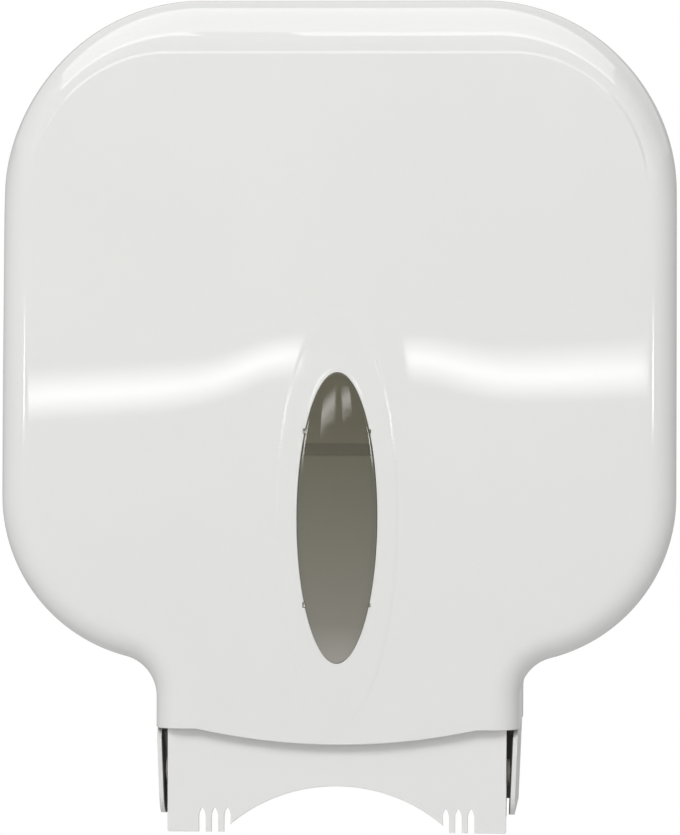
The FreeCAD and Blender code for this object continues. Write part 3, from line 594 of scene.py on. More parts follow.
def new_object(name: str, points: np.ndarray, faces: Sequence[Sequence[int]],
               material: bpy.types.Material, normals: Optional[np.ndarray] = None) -> bpy.types.Object:
    """Make a smooth-shaded mesh object at the origin.

    Args:
        name: the object's name.
        points: vertex places, one row each.
        faces: vertex numbers of each face.
        material: its material.
        normals: shading normals for each vertex; a zero row keeps the mesh's own.

    Returns:
        The object, linked to the scene.
    """
    mesh = bpy.data.meshes.new(name)
    mesh.from_pydata([tuple(map(float, p)) for p in points], [], [list(map(int, f)) for f in faces])
    mesh.polygons.foreach_set("use_smooth", [True] * len(mesh.polygons))
    mesh.materials.append(material)
    mesh.update()
    if normals is not None:
        mesh.normals_split_custom_set_from_vertices([tuple(map(float, n)) for n in normals])
    return linked(name, mesh)


def settle(obj: bpy.types.Object, body: Body, slot: Slot, *nodes: str) -> bpy.types.Object:
    """Fix a finished piece to its body and let it stand for its nodes.

    Args:
        obj: the piece.
        body: the body it rides on.
        slot: the record's slot of its finish; not used.
        nodes: names of the nodes it replaces.

    Returns:
        The piece.
    """
    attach(obj, body.value)
    if nodes:
        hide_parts(*nodes)
    LOG.info("piece %s on %s: %d faces", obj.name, body.value, len(obj.data.polygons))
    return obj


def softened_copy(name: str, node: str, material: bpy.types.Material, width: float) -> bpy.types.Object:
    """Copy a node's mesh, join its loose triangles and round its sharp edges.

    Args:
        name: the new piece's name.
        node: the node to copy.
        material: its material.
        width: how wide the rounded edges are.

    Returns:
        The new object, with its modifiers applied.
    """
    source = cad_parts[node]
    mesh = source.data.copy()
    mesh.name = name
    mesh.materials.clear()
    mesh.materials.append(material)
    cage = bmesh.new()
    cage.from_mesh(mesh)
    bmesh.ops.remove_doubles(cage, verts=cage.verts, dist=2e-6)
    bmesh.ops.dissolve_limit(cage, angle_limit=FLAT_ANGLE, verts=cage.verts,
                             edges=cage.edges, delimit={"NORMAL"})
    cage.to_mesh(mesh)
    cage.free()
    if "custom_normal" in mesh.attributes:
        mesh.attributes.remove(mesh.attributes["custom_normal"])
    mesh.polygons.foreach_set("use_smooth", [True] * len(mesh.polygons))
    obj = linked(name, mesh)
    bevel = obj.modifiers.new("edge", "BEVEL")
    bevel.width = width
    bevel.segments = EDGE_FACES
    bevel.limit_method = "ANGLE"
    bevel.angle_limit = SHARP_ANGLE
    bevel.use_clamp_overlap = True
    bevel.miter_outer = "MITER_ARC"
    bevel.harden_normals = False
    obj.modifiers.new("shade", "WEIGHTED_NORMAL").keep_sharp = False
    return applied(obj)


def softened_piece(name: str, node: str, body: Body, slot: Slot, width: float,
                   finishes: Finishes) -> bpy.types.Object:
    """Make a node's softened copy and settle it.

    Args:
        name: the new piece's name.
        node: the node to copy and replace.
        body: the body it rides on.
        slot: the record's slot of its finish.
        width: how wide the rounded edges are.
        finishes: the finishes.

    Returns:
        The piece.
    """
    return settle(softened_copy(name, node, finishes.of(slot), width), body, slot, node)


def applied(obj: bpy.types.Object) -> bpy.types.Object:
    """Turn an object's evaluated shape into its plain mesh and drop its modifiers.

    Args:
        obj: the object.

    Returns:
        The same object.
    """
    graph = bpy.context.evaluated_depsgraph_get()
    graph.update()
    mesh = bpy.data.meshes.new_from_object(obj.evaluated_get(graph), depsgraph=graph)
    mesh.name = obj.name
    obj.modifiers.clear()
    obj.data = mesh
    return obj


def lathe(name: str, profile: Sequence[tuple], centre: Vector, axis: Vector, steps: int,
          material: bpy.types.Material) -> bpy.types.Object:
    """Turn a closed profile round an axis.

    Args:
        name: the object's name.
        profile: (radius, distance along the axis) pairs, closed from the last to the first; points
            on the axis have radius 0.
        centre: where distance 0 is.
        axis: direction of the axis.
        steps: faces round the axis.
        material: its material.

    Returns:
        The object.
    """
    across = axis.orthogonal().normalized()
    side = axis.cross(across).normalized()
    points, rings = [], []
    for radius, along in profile:
        if radius < ON_AXIS:
            rings.append([len(points)])
            points.append(centre + axis * along)
            continue
        rings.append(list(range(len(points), len(points) + steps)))
        for k in range(steps):
            turn = TURN * k / steps
            out = across * math.cos(turn) + side * math.sin(turn)
            points.append(centre + axis * along + out * radius)
    faces = []
    for low, high in zip(rings, rings[1:] + rings[:1]):
        if len(low) == 1 and len(high) == 1:
            continue
        for k in range(steps):
            nxt = (k + 1) % steps
            loop = [low[k % len(low)], low[nxt % len(low)],
                    high[nxt % len(high)], high[k % len(high)]]
            faces.append(list(dict.fromkeys(loop)))
    obj = new_object(name, np.array(points), faces, material)
    facing_out(obj)
    return obj


def facing_out(obj: bpy.types.Object) -> None:
    """Point the faces of a closed mesh outwards."""
    cage = bmesh.new()
    cage.from_mesh(obj.data)
    bmesh.ops.remove_doubles(cage, verts=cage.verts, dist=1e-6)
    bmesh.ops.recalc_face_normals(cage, faces=cage.faces)
    cage.to_mesh(obj.data)
    cage.free()


def rounded_profile(corners: Sequence[tuple], radius: float, steps: int = 4) -> list:
    """Round the corners of a closed profile.

    Args:
        corners: (radius from the axis, along) pairs.
        radius: corner radius; corners on the axis stay sharp.
        steps: faces across each corner.

    Returns:
        The rounded profile.
    """
    out = []
    count = len(corners)
    for k, here in enumerate(corners):
        if here[0] < ON_AXIS:
            out.append(here)
            continue
        before = Vector(corners[k - 1]) - Vector(here)
        after = Vector(corners[(k + 1) % count]) - Vector(here)
        cut = min(radius, before.length * 0.45, after.length * 0.45)
        start = Vector(here) + before.normalized() * cut
        end = Vector(here) + after.normalized() * cut
        for s in range(steps + 1):
            t = s / steps
            point = start * (1 - t) ** 2 + Vector(here) * (2 * t * (1 - t)) + end * t ** 2
            out.append((max(point.x, 0.0), point.y))
    return out


def joined(name: str, parts: Sequence[bpy.types.Object]) -> bpy.types.Object:
    """Join objects that share a material into one mesh, and remove the parts.

    Args:
        name: the new object's name.
        parts: the objects.

    Returns:
        The joined object.
    """
    points, faces, base = [], [], 0
    for part in parts:
        points.extend([part.matrix_world @ v.co for v in part.data.vertices])
        faces.extend([[base + v for v in p.vertices] for p in part.data.polygons])
        base = len(points)
    material = parts[0].data.materials[0]
    for part in parts:
        bpy.data.objects.remove(part)
    return new_object(name, np.array(points), faces, material)


@dataclass(frozen=True)
class Ring:
    """One section through the cover: places and directions along it."""

    points: np.ndarray
    tangents: np.ndarray


@dataclass
class CoverShape:
    """The rule that the cover's surface follows, with its sizes."""

    half_width: float = 0.180
    half_height: float = 0.1825
    top_corner_r: float = 0.104
    bottom_corner_r: float = 0.0885
    bottom_corner_drop: float = 0.1738
    neck_half: float = 0.097
    neck_fillet_r: float = 0.0217
    outline_depth: float = 0.088
    draft: float = math.radians(0.8)
    rear_depth: float = 0.0123
    front_low: float = 0.126
    lean_back: float = 0.010
    waist_z: float = -0.040
    waist_arch: float = 0.032
    waist_arch_half: float = 0.061
    waist_blend: float = 0.019
    panel_top: float = 0.152
    side_round: float = 0.015
    shoulder_drop: float = 0.0301
    shoulder_run: float = 0.040
    shoulder_from_z: float = 0.060
    panel_step: float = 0.0011
    step_low_z: float = 0.080
    step_full_z: float = 0.118
    panel_edge: float = 0.0020
    wall: float = 0.0026
    lip_z: float = -0.208
    lip_drop: float = 0.008
    lip_half: float = 0.074
    window_z: float = -0.0965
    window_half_x: float = 0.0212
    window_half_z: float = 0.077
    mound_half_x: float = 0.0327
    mound_half_z: float = 0.1115
    mound_ramp: float = 0.04
    mound_step: float = 0.0003
    bead_height: float = 0.0003
    bead_width: float = 0.0007

    def front(self, x: np.ndarray, z: np.ndarray) -> np.ndarray:
        """Depth of the plain front: upright below an arched waist, leaning back above it."""
        waist = self.waist_z + self.waist_arch / (1 + (np.abs(x) / self.waist_arch_half) ** 5)
        rise = self.waist_blend * np.logaddexp(0, (z - waist) / self.waist_blend)
        return self.front_low - self.lean_back * rise / (self.panel_top - waist)

    def mound(self, x: np.ndarray, z: np.ndarray) -> np.ndarray:
        """Height of the window's raised surround: a low step on an ellipse and a bead at the opening."""
        up = z - self.window_z
        outer = np.hypot(x / self.mound_half_x, up / self.mound_half_z)
        step = np.clip((1 - outer) / self.mound_ramp, 0, 1)
        inner = np.hypot(x / self.window_half_x, up / self.window_half_z)
        slope = np.hypot(x / self.window_half_x ** 2, up / self.window_half_z ** 2)
        grade = slope / np.maximum(inner, 1e-6)
        away = np.maximum(inner - 1, 0) / np.maximum(grade, 1e-6)
        bead = np.exp(-away / self.bead_width)
        return self.mound_step * step * step * (3 - 2 * step) + self.bead_height * bead

    def panel(self, x: np.ndarray, z: np.ndarray, skin: float) -> np.ndarray:
        """Depth of the front panel with the surround of the window, `skin` below the surface."""
        return self.front(x, z) + self.mound(x, z) - skin

    def drawn(self, depth: float) -> float:
        """How far the side walls have drawn in at a depth."""
        return (depth - self.outline_depth) * math.tan(self.draft)

    def shoulder(self, z: np.ndarray) -> np.ndarray:
        """0 down the sides, 1 along the top, with a smooth change in between."""
        t = np.clip((z - self.shoulder_from_z) / (self.panel_top - self.shoulder_from_z), 0, 1)
        return smooth(t)

    def stepped(self, z: np.ndarray) -> np.ndarray:
        """0 where the shoulder runs smoothly into the panel, 1 where the small step is at its full height."""
        t = np.clip((z - self.step_low_z) / (self.step_full_z - self.step_low_z), 0, 1)
        return smooth(t)

    def outline(self, inset: float, top_inset: float) -> tuple:
        """Trace the body outline from the lip on the right, over the top, to the lip on the left.

        Args:
            inset: how far it is drawn in at the sides.
            top_inset: how far it is drawn in along the top.

        Returns:
            x and z of its points, and the x and z of the direction of travel there.
        """
        side, top = self.half_width - inset, self.half_height - top_inset
        corner = self.top_corner_r - top_inset
        low_x = self.half_width - self.bottom_corner_r
        low_z = self.bottom_corner_r - self.bottom_corner_drop
        neck_x = self.neck_half + self.neck_fillet_r
        reach = self.bottom_corner_r + self.neck_fillet_r
        neck_z = low_z - math.sqrt(reach ** 2 - (neck_x - low_x) ** 2)
        swing = math.atan2(neck_z - low_z, neck_x - low_x)
        runs = [
            line_points(self.neck_half - inset, self.lip_z, self.neck_half - inset, neck_z, 8),
            arc_points(neck_x, neck_z, self.neck_fillet_r + inset, math.pi, swing + math.pi, 14),
            arc_points(low_x, low_z, self.bottom_corner_r - inset, swing, 0, 40),
            line_points(side, low_z, side, top - corner, 40),
            arc_points(side - corner, top - corner, corner, 0, math.pi / 2, 44),
            line_points(side - corner, top, 0.014, top, 14),
            line_points(0.014, top, 0.0, top, 4),
        ]
        x, z, tx, tz = (np.concatenate([run[k][:-1] for run in runs]) for k in range(4))
        middle = [np.array([0.0]), np.array([top]), np.array([-1.0]), np.array([0.0])]
        return (np.concatenate([x, middle[0], -x[::-1]]), np.concatenate([z, middle[1], z[::-1]]),
                np.concatenate([tx, middle[2], tx[::-1]]), np.concatenate([tz, middle[3], -tz[::-1]]))

    def place(self, inset: float, top_inset: float, depth_at: Callable) -> Ring:
        """Make a ring from an outline and a rule for its depth.

        Args:
            inset: how far it is drawn in at the sides.
            top_inset: how far it is drawn in along the top.
            depth_at: depth as a function of x and z.

        Returns:
            The ring.
        """
        x, z, tx, tz = self.outline(inset, top_inset)
        depth = depth_at(x, z)
        nudge = 1e-5
        ahead, behind = depth_at(x + tx * nudge, z + tz * nudge), depth_at(x - tx * nudge, z - tz * nudge)
        change = (ahead - behind) / (2 * nudge)
        return Ring(np.stack([x, -depth, z], 1), np.stack([tx, -change, tz], 1))

    def rounding(self, turn: float, skin: float, step: float) -> Ring:
        """Section through the rounded edge, `turn` radians round it, `skin` below the surface."""
        across, along = 1 - math.cos(turn), 1 - math.sin(turn)
        drawn = skin + self.drawn(self.front_low - self.side_round)
        inset = drawn + (self.side_round - skin) * across
        top_inset = drawn + (self.shoulder_drop - skin) * across

        def depth_at(x: np.ndarray, z: np.ndarray) -> np.ndarray:
            """Depth of the section at a place on it."""
            level = z + top_inset * self.shoulder(z)
            run = self.side_round + (self.shoulder_run - self.side_round) * self.shoulder(level) - skin
            return self.front(x, z) - skin - run * along - step * self.stepped(level)

        return self.place(inset, top_inset, depth_at)

    def ledge(self, share: float, skin: float) -> Ring:
        """Section through the small step between the shoulder and the front panel."""
        drawn = self.drawn(self.front_low - self.side_round)
        edge = self.panel_edge * share
        rise = 1 - smooth(share)

        def depth_at(x: np.ndarray, z: np.ndarray) -> np.ndarray:
            """Depth of the section at a place on it."""
            top_inset = drawn + self.shoulder_drop
            step = self.panel_step if skin == 0 else 0.0
            return self.front(x, z) - skin - step * rise * self.stepped(z + top_inset * self.shoulder(z))

        return self.place(drawn + self.side_round + edge, drawn + self.shoulder_drop + edge, depth_at)

    def rings(self, skin: float) -> list:
        """All sections of one skin, from the wall side to the front panel.

        Args:
            skin: how far the skin lies inside the cover's surface.

        Returns:
            The rings.
        """
        start = self.place(self.drawn(self.rear_depth) + skin, self.drawn(self.rear_depth) + skin,
                           lambda x, z: np.full_like(x, self.rear_depth))
        end = self.rounding(0.0, skin, self.panel_step if skin == 0 else 0.0)
        shares = [0.006, 0.02, 0.08, 0.17, 0.28, 0.38, 0.46, 0.54, 0.62, 0.72, 0.85]
        rings = [Ring(start.points * (1 - s) + end.points * s,
                      start.tangents * (1 - s) + end.tangents * s) for s in shares]
        turns = np.linspace(0, math.pi / 2, 21)
        rings += [self.rounding(t, skin, self.panel_step if skin == 0 else 0.0) for t in turns]
        rings += [self.ledge(s, skin) for s in np.linspace(0, 1, 9)[1:]]
        return rings


def line_points(x0: float, z0: float, x1: float, z1: float, spans: int) -> tuple:
    """Points along a straight run, with the direction of travel.

    Args:
        x0: start, across.
        z0: start, up.
        x1: end, across.
        z1: end, up.
        spans: how many equal parts.

    Returns:
        Arrays of x, z and the direction's x and z.
    """
    s = np.linspace(0, 1, spans + 1)
    length = math.hypot(x1 - x0, z1 - z0)
    return (x0 + (x1 - x0) * s, z0 + (z1 - z0) * s,
            np.full_like(s, (x1 - x0) / length), np.full_like(s, (z1 - z0) / length))


def arc_points(x: float, z: float, radius: float, start: float, end: float, spans: int) -> tuple:
    """Points along an arc, with the direction of travel.

    Args:
        x: centre, across.
        z: centre, up.
        radius: its radius.
        start: first angle.
        end: last angle.
        spans: how many equal parts.

    Returns:
        Arrays of x, z and the direction's x and z.
    """
    t = np.linspace(start, end, spans + 1)
    sign = 1.0 if end > start else -1.0
    return (x + radius * np.cos(t), z + radius * np.sin(t), -np.sin(t) * sign, np.cos(t) * sign)


@dataclass
class Draft:
    """A mesh in the making; a zero shading normal keeps the mesh's own."""

    points: list = field(default_factory=list)
    faces: list = field(default_factory=list)
    normals: list = field(default_factory=list)

    def row(self, places: Sequence, normals: Sequence) -> list:
        """Add vertices with their shading normals.

        Args:
            places: the vertices' places.
            normals: their normals.

        Returns:
            The new vertex numbers.
        """
        first = len(self.points)
        self.points.extend(places)
        self.normals.extend(normals)
        return list(range(first, len(self.points)))


def rim_strip(draft: Draft, outer: Sequence[int], inner: Sequence[int], away: np.ndarray,
              radius: float, spans: int = 3) -> None:
    """Join the closed edges of two skins by a rim with rounded corners.

    Args:
        draft: the mesh, added to.
        outer: vertex numbers along the edge of the outer skin.
        inner: vertex numbers along the edge of the inner skin.
        away: for each pair, the direction in which the rim stands beyond the edges.
        radius: corner radius.
        spans: faces round each corner.
    """
    start = np.array([draft.points[k] for k in outer])
    end = np.array([draft.points[k] for k in inner])
    across = end - start
    across /= np.linalg.norm(across, axis=1, keepdims=True)
    rows = [list(outer)]
    turns = [math.pi / 2 * k / spans for k in range(1, spans + 1)]
    stages = [(start, 1.0, t) for t in turns] + [(end, -1.0, t) for t in reversed(turns)]
    for origin, side, turn in stages:
        row = origin + away * radius * math.sin(turn) + across * side * radius * (1 - math.cos(turn))
        rows.append(draft.row(row, np.zeros_like(row)))
    rows.append(list(inner))
    for low, high in zip(rows, rows[1:]):
        draft.faces.extend(band_faces(low, high))


def fill_plane(loops: Sequence[np.ndarray], inside: np.ndarray, keep: Callable) -> tuple:
    """Triangulate a flat region between loops, through given inner points.

    Args:
        loops: closed loops of 2-D points; they become edges of the mesh.
        inside: more points.
        keep: tells for arrays of x and y which triangles' centres belong to the region.

    Returns:
        All points in the order loops then inside, and the triangles kept.
    """
    places = np.concatenate(list(loops) + [inside])
    edges, base = [], 0
    for loop in loops:
        edges += [(base + k, base + (k + 1) % len(loop)) for k in range(len(loop))]
        base += len(loop)
    result = delaunay_2d_cdt([Vector(map(float, p)) for p in places], edges, [], 0, 1e-8)
    if len(result[0]) != len(places):
        LOG.warning("triangulation merged %d points", len(places) - len(result[0]))
    back = [origins[0] for origins in result[3]]
    flat = np.array([tuple(p) for p in result[0]])
    triangles = np.array([list(f) for f in result[2] if len(f) == 3])
    centres = flat[triangles].mean(axis=1)
    chosen = triangles[keep(centres[:, 0], centres[:, 1])]
    return places, [[back[k] for k in tri] for tri in chosen]


@dataclass
class FrontCover:
    """The drop-down cover: one moulding, off-white and glossy, 2.6 mm thick."""

    shape: CoverShape = field(default_factory=CoverShape)
    edge_r: float = 0.0006
    opening_half_x: float = 0.02135
    opening_half_z: float = 0.07715
    opening_steps: int = 144
    grid: float = 0.0042
    grid_half: float = 0.168
    grid_low: float = -0.214
    grid_top: float = 0.150
    post_r: float = 0.004
    post_z: float = -0.199
    post_rear: float = 0.1202
    lock_depth: float = 0.040
    lock_hole_r: float = 0.0087

    def lip_points(self, ring: Ring, steps: int = 72) -> tuple:
        """Follow the lower edge of the front from its left end to its right end.

        Args:
            ring: the front panel's ring, which gives the two ends.
            steps: spans of the sagging middle stretch.

        Returns:
            x and z of the points between the ends.
        """
        s = self.shape
        edge = ring.points[0, 0]
        radius = (s.lip_half ** 2 + s.lip_drop ** 2) / (2 * s.lip_drop)
        centre_z = s.lip_z - s.lip_drop + radius
        x_mid = np.linspace(-s.lip_half, s.lip_half, steps + 1)
        z_mid = centre_z - np.sqrt(radius ** 2 - x_mid ** 2)
        x_left = np.linspace(-edge, -s.lip_half, 9)[1:-1]
        x = np.concatenate([x_left, x_mid, -x_left[::-1]])
        z = np.concatenate([np.full(7, s.lip_z), z_mid, np.full(7, s.lip_z)])
        return x, z

    def skin_mesh(self, skin: float, draft: Draft) -> dict:
        """Add one skin of the moulding.

        Args:
            skin: how far it lies inside the surface; 0 for the outside.
            draft: the mesh, added to.

        Returns:
            Vertex numbers of its edge loop and of its window loop, and how many lie at the rear.
        """
        rings = self.shape.rings(skin)
        grid = self.add_rings(rings, skin, draft)
        lip, window = self.add_panel(rings[-1], grid[-1], skin, draft)
        right_side = [row[0] for row in grid]
        left_side = [row[-1] for row in grid]
        loop = grid[0] + left_side[1:] + lip + right_side[::-1][:-1]
        return {"loop": loop, "rear": len(grid[0]), "window": window}

    def add_rings(self, rings: Sequence[Ring], skin: float, draft: Draft) -> list:
        """Add the sections of one skin and the faces between them.

        Args:
            rings: the sections, from the wall side to the front panel.
            skin: how far the skin lies inside the surface.
            draft: the mesh, added to.

        Returns:
            A row of vertex numbers for each section.
        """
        places = np.stack([ring.points for ring in rings])
        along = np.stack([ring.tangents for ring in rings])
        across = np.gradient(places, axis=0)
        across[0], across[-1] = places[1] - places[0], places[-1] - places[-2]
        turned = np.cross(along, across)
        turned /= np.linalg.norm(turned, axis=2, keepdims=True)
        flip = -1.0 if turned[0, places.shape[1] // 2, 2] < 0 else 1.0
        sign = flip if skin == 0 else -flip
        grid = [draft.row(row, normals) for row, normals in zip(places, turned * sign)]
        for low, high in zip(grid, grid[1:]):
            band = band_faces(low, high, closed=False)
            draft.faces.extend(band if skin == 0 else [face[::-1] for face in band])
        return grid

    def add_panel(self, last: Ring, rim: Sequence[int], skin: float, draft: Draft) -> tuple:
        """Add the front panel of one skin, out to the lip and in to the window's opening.

        Args:
            last: the section that the panel starts from.
            rim: vertex numbers of that section.
            skin: how far the skin lies inside the surface.
            draft: the mesh, added to.

        Returns:
            Vertex numbers along the lip and round the opening.
        """
        s = self.shape
        lip_x, lip_z = self.lip_points(last)
        outline = np.concatenate([last.points[:, [0, 2]], np.stack([lip_x, lip_z], 1)])
        hole_a, hole_b = self.opening_half_x + self.edge_r, self.opening_half_z + self.edge_r
        turns = TURN * np.arange(self.opening_steps) / self.opening_steps
        hole = np.stack([hole_a * np.cos(turns), s.window_z + hole_b * np.sin(turns)], 1)
        inner = self.inner_places(outline, hole_a, hole_b)

        def on_panel(x: np.ndarray, z: np.ndarray) -> np.ndarray:
            """Tell which places lie on the panel.

            Args:
                x: across.
                z: up.

            Returns:
                True for a place inside the outline and outside the opening.
            """
            outside = (x / hole_a) ** 2 + ((z - s.window_z) / hole_b) ** 2 > 1.0
            return inside_loop(outline, x, z) & outside

        flat, triangles = fill_plane([outline, hole], inner, on_panel)
        x, z = flat[len(rim):].T
        fresh = np.stack([x, -s.panel(x, z, skin), z], 1)
        number = list(rim) + draft.row(fresh, self.panel_normals(x, z, skin))
        rim_normals = self.panel_normals(last.points[:, 0], last.points[:, 2], skin)
        for k, normal in zip(rim, rim_normals):
            draft.normals[k] = normal
        for tri in triangles:
            a, b, c = (number[t] for t in tri)
            u, v = flat[tri[1]] - flat[tri[0]], flat[tri[2]] - flat[tri[0]]
            outward = (u[0] * v[1] - u[1] * v[0]) > 0
            draft.faces.append([a, b, c] if outward == (skin == 0) else [a, c, b])
        lip_end = len(rim) + len(lip_x)
        return number[len(rim):lip_end], number[lip_end:lip_end + len(hole)]

    def inner_places(self, outline: np.ndarray, hole_a: float, hole_b: float) -> np.ndarray:
        """Pick the inner points of the front panel's mesh.

        Args:
            outline: the panel's outline.
            hole_a: half-width of the window loop.
            hole_b: half-height of the window loop.

        Returns:
            The points, as x and z.
        """
        s = self.shape
        xs = np.arange(-self.grid_half, self.grid_half + self.grid / 2, self.grid)
        zs = np.arange(self.grid_low, self.grid_top, self.grid)
        x, z = (a.ravel() for a in np.meshgrid(xs, zs))
        a, b = s.mound_half_x, s.mound_half_z
        radial = np.hypot(x / a, (z - s.window_z) / b)
        apart = loop_distance(outline, x, z) > 0.4 * self.grid
        clear = (radial > 1.10) & inside_loop(outline, x, z) & apart
        plain = np.stack([x[clear], z[clear]], 1)
        rings = []
        turns = TURN * (np.arange(self.opening_steps) + 0.5) / self.opening_steps
        low = max(hole_a / a, hole_b / b)
        edge = (np.concatenate([[1.06, 1.035], np.arange(1.015, 0.945, -0.006), [0.93]]) - low) / (1.06 - low)
        for k, grow in enumerate(np.concatenate([edge, np.linspace(edge[-1], 0.22, 7)[1:],
                                                 [0.17, 0.13, 0.10, 0.07, 0.045, 0.022]])):
            shift = turns if k % 2 else turns - math.pi / self.opening_steps
            ring_a, ring_b = hole_a + (1.06 * a - hole_a) * grow, hole_b + (1.06 * b - hole_b) * grow
            rings.append(np.stack([ring_a * np.cos(shift), s.window_z + ring_b * np.sin(shift)], 1))
        return np.concatenate([plain] + rings)

    def panel_normals(self, x: np.ndarray, z: np.ndarray, skin: float) -> np.ndarray:
        """Shading normals of the front panel at given places."""
        s, h = self.shape, 2e-5
        across = (s.panel(x + h, z, skin) - s.panel(x - h, z, skin)) / (2 * h)
        up = (s.panel(x, z + h, skin) - s.panel(x, z - h, skin)) / (2 * h)
        out = np.stack([-across, -np.ones_like(x), -up], 1)
        out /= np.linalg.norm(out, axis=1, keepdims=True)
        return out if skin == 0 else -out

    def build(self, finishes: Finishes) -> bpy.types.Object:
        """Build the moulding and settle it on its body.

        Args:
            finishes: the finishes.

        Returns:
            The piece.
        """
        s = self.shape
        draft = Draft()
        outer = self.skin_mesh(0.0, draft)
        inner = self.skin_mesh(s.wall, draft)
        count, rear = len(outer["loop"]), outer["rear"]
        away = np.tile(np.array([0.0, 0.0, -1.0]), (count, 1))
        away[1:rear - 1] = (0.0, 1.0, 0.0)
        away[0] = away[rear - 1] = (0.0, 1.0, -1.0)
        rim_strip(draft, outer["loop"], inner["loop"], away, self.edge_r)
        ring = np.array([draft.points[k] for k in outer["window"]])
        inward = np.stack([-ring[:, 0] / self.opening_half_x ** 2, np.zeros(len(ring)),
                           -(ring[:, 2] - s.window_z) / self.opening_half_z ** 2], 1)
        inward /= np.linalg.norm(inward, axis=1, keepdims=True)
        rim_strip(draft, outer["window"], inner["window"], inward, self.edge_r)
        cover = new_object("front_cover_moulding", np.array(draft.points), draft.faces,
                           finishes.of(Slot.COVER))
        facing_out(cover)
        kept = {tuple(np.round(p, 6)): n for p, n in zip(draft.points, draft.normals)}
        self.cut_lock_hole(cover)
        posts = [self.post(x, finishes) for x in TEAR_SCREW_X]
        whole = joined("front_cover_moulding", [cover] + posts)
        own = [kept.get(tuple(np.round(np.array(v.co), 6)), (0.0, 0.0, 0.0))
               for v in whole.data.vertices]
        whole.data.normals_split_custom_set_from_vertices([tuple(map(float, n)) for n in own])
        return settle(whole, Body.COVER, Slot.COVER, "front_cover")

    def cut_lock_hole(self, cover: bpy.types.Object) -> None:
        """Cut the hole that the lock stands in, through the top wall."""
        tool = lathe("lock_hole_tool", [(0.0, -0.01), (self.lock_hole_r, -0.01), (self.lock_hole_r, 0.01),
                                        (0.0, 0.01)], Vector((0, -self.lock_depth, self.shape.half_height)),
                     Vector((0, 0, 1)), 64, cover.data.materials[0])
        cut = cover.modifiers.new("hole", "BOOLEAN")
        cut.operation = "DIFFERENCE"
        cut.solver = "EXACT"
        cut.object = tool
        applied(cover)
        bpy.data.objects.remove(tool)

    def post(self, x: float, finishes: Finishes) -> bpy.types.Object:
        """Make one post that a screw of the tear plate bites into."""
        front = self.shape.front_low - self.shape.wall + 0.0003
        profile = rounded_profile([(0.0, self.post_rear), (self.post_r, self.post_rear),
                                   (self.post_r, front), (0.0, front)], 0.0003, 2)
        return lathe("post", profile, Vector((x, 0, self.post_z)), Vector((0, -1, 0)), 32,
                     finishes.of(Slot.COVER))


def inside_loop(loop: np.ndarray, x: np.ndarray, z: np.ndarray) -> np.ndarray:
    """Tell which points lie inside a closed loop.

    Args:
        loop: the loop's points.
        x: across.
        z: up.

    Returns:
        A mask.
    """
    inside = np.zeros(len(x), bool)
    for (x0, z0), (x1, z1) in zip(loop, np.roll(loop, -1, axis=0)):
        if z0 == z1:
            continue
        crosses = ((z0 > z) != (z1 > z)) & (x < (x1 - x0) * (z - z0) / (z1 - z0) + x0)
        inside ^= crosses
    return inside


def loop_distance(loop: np.ndarray, x: np.ndarray, z: np.ndarray) -> np.ndarray:
    """Distance from points to the nearest point of a loop."""
    gaps = [np.hypot(x - a, z - b) for a, b in loop]
    return np.min(np.stack(gaps), axis=0)


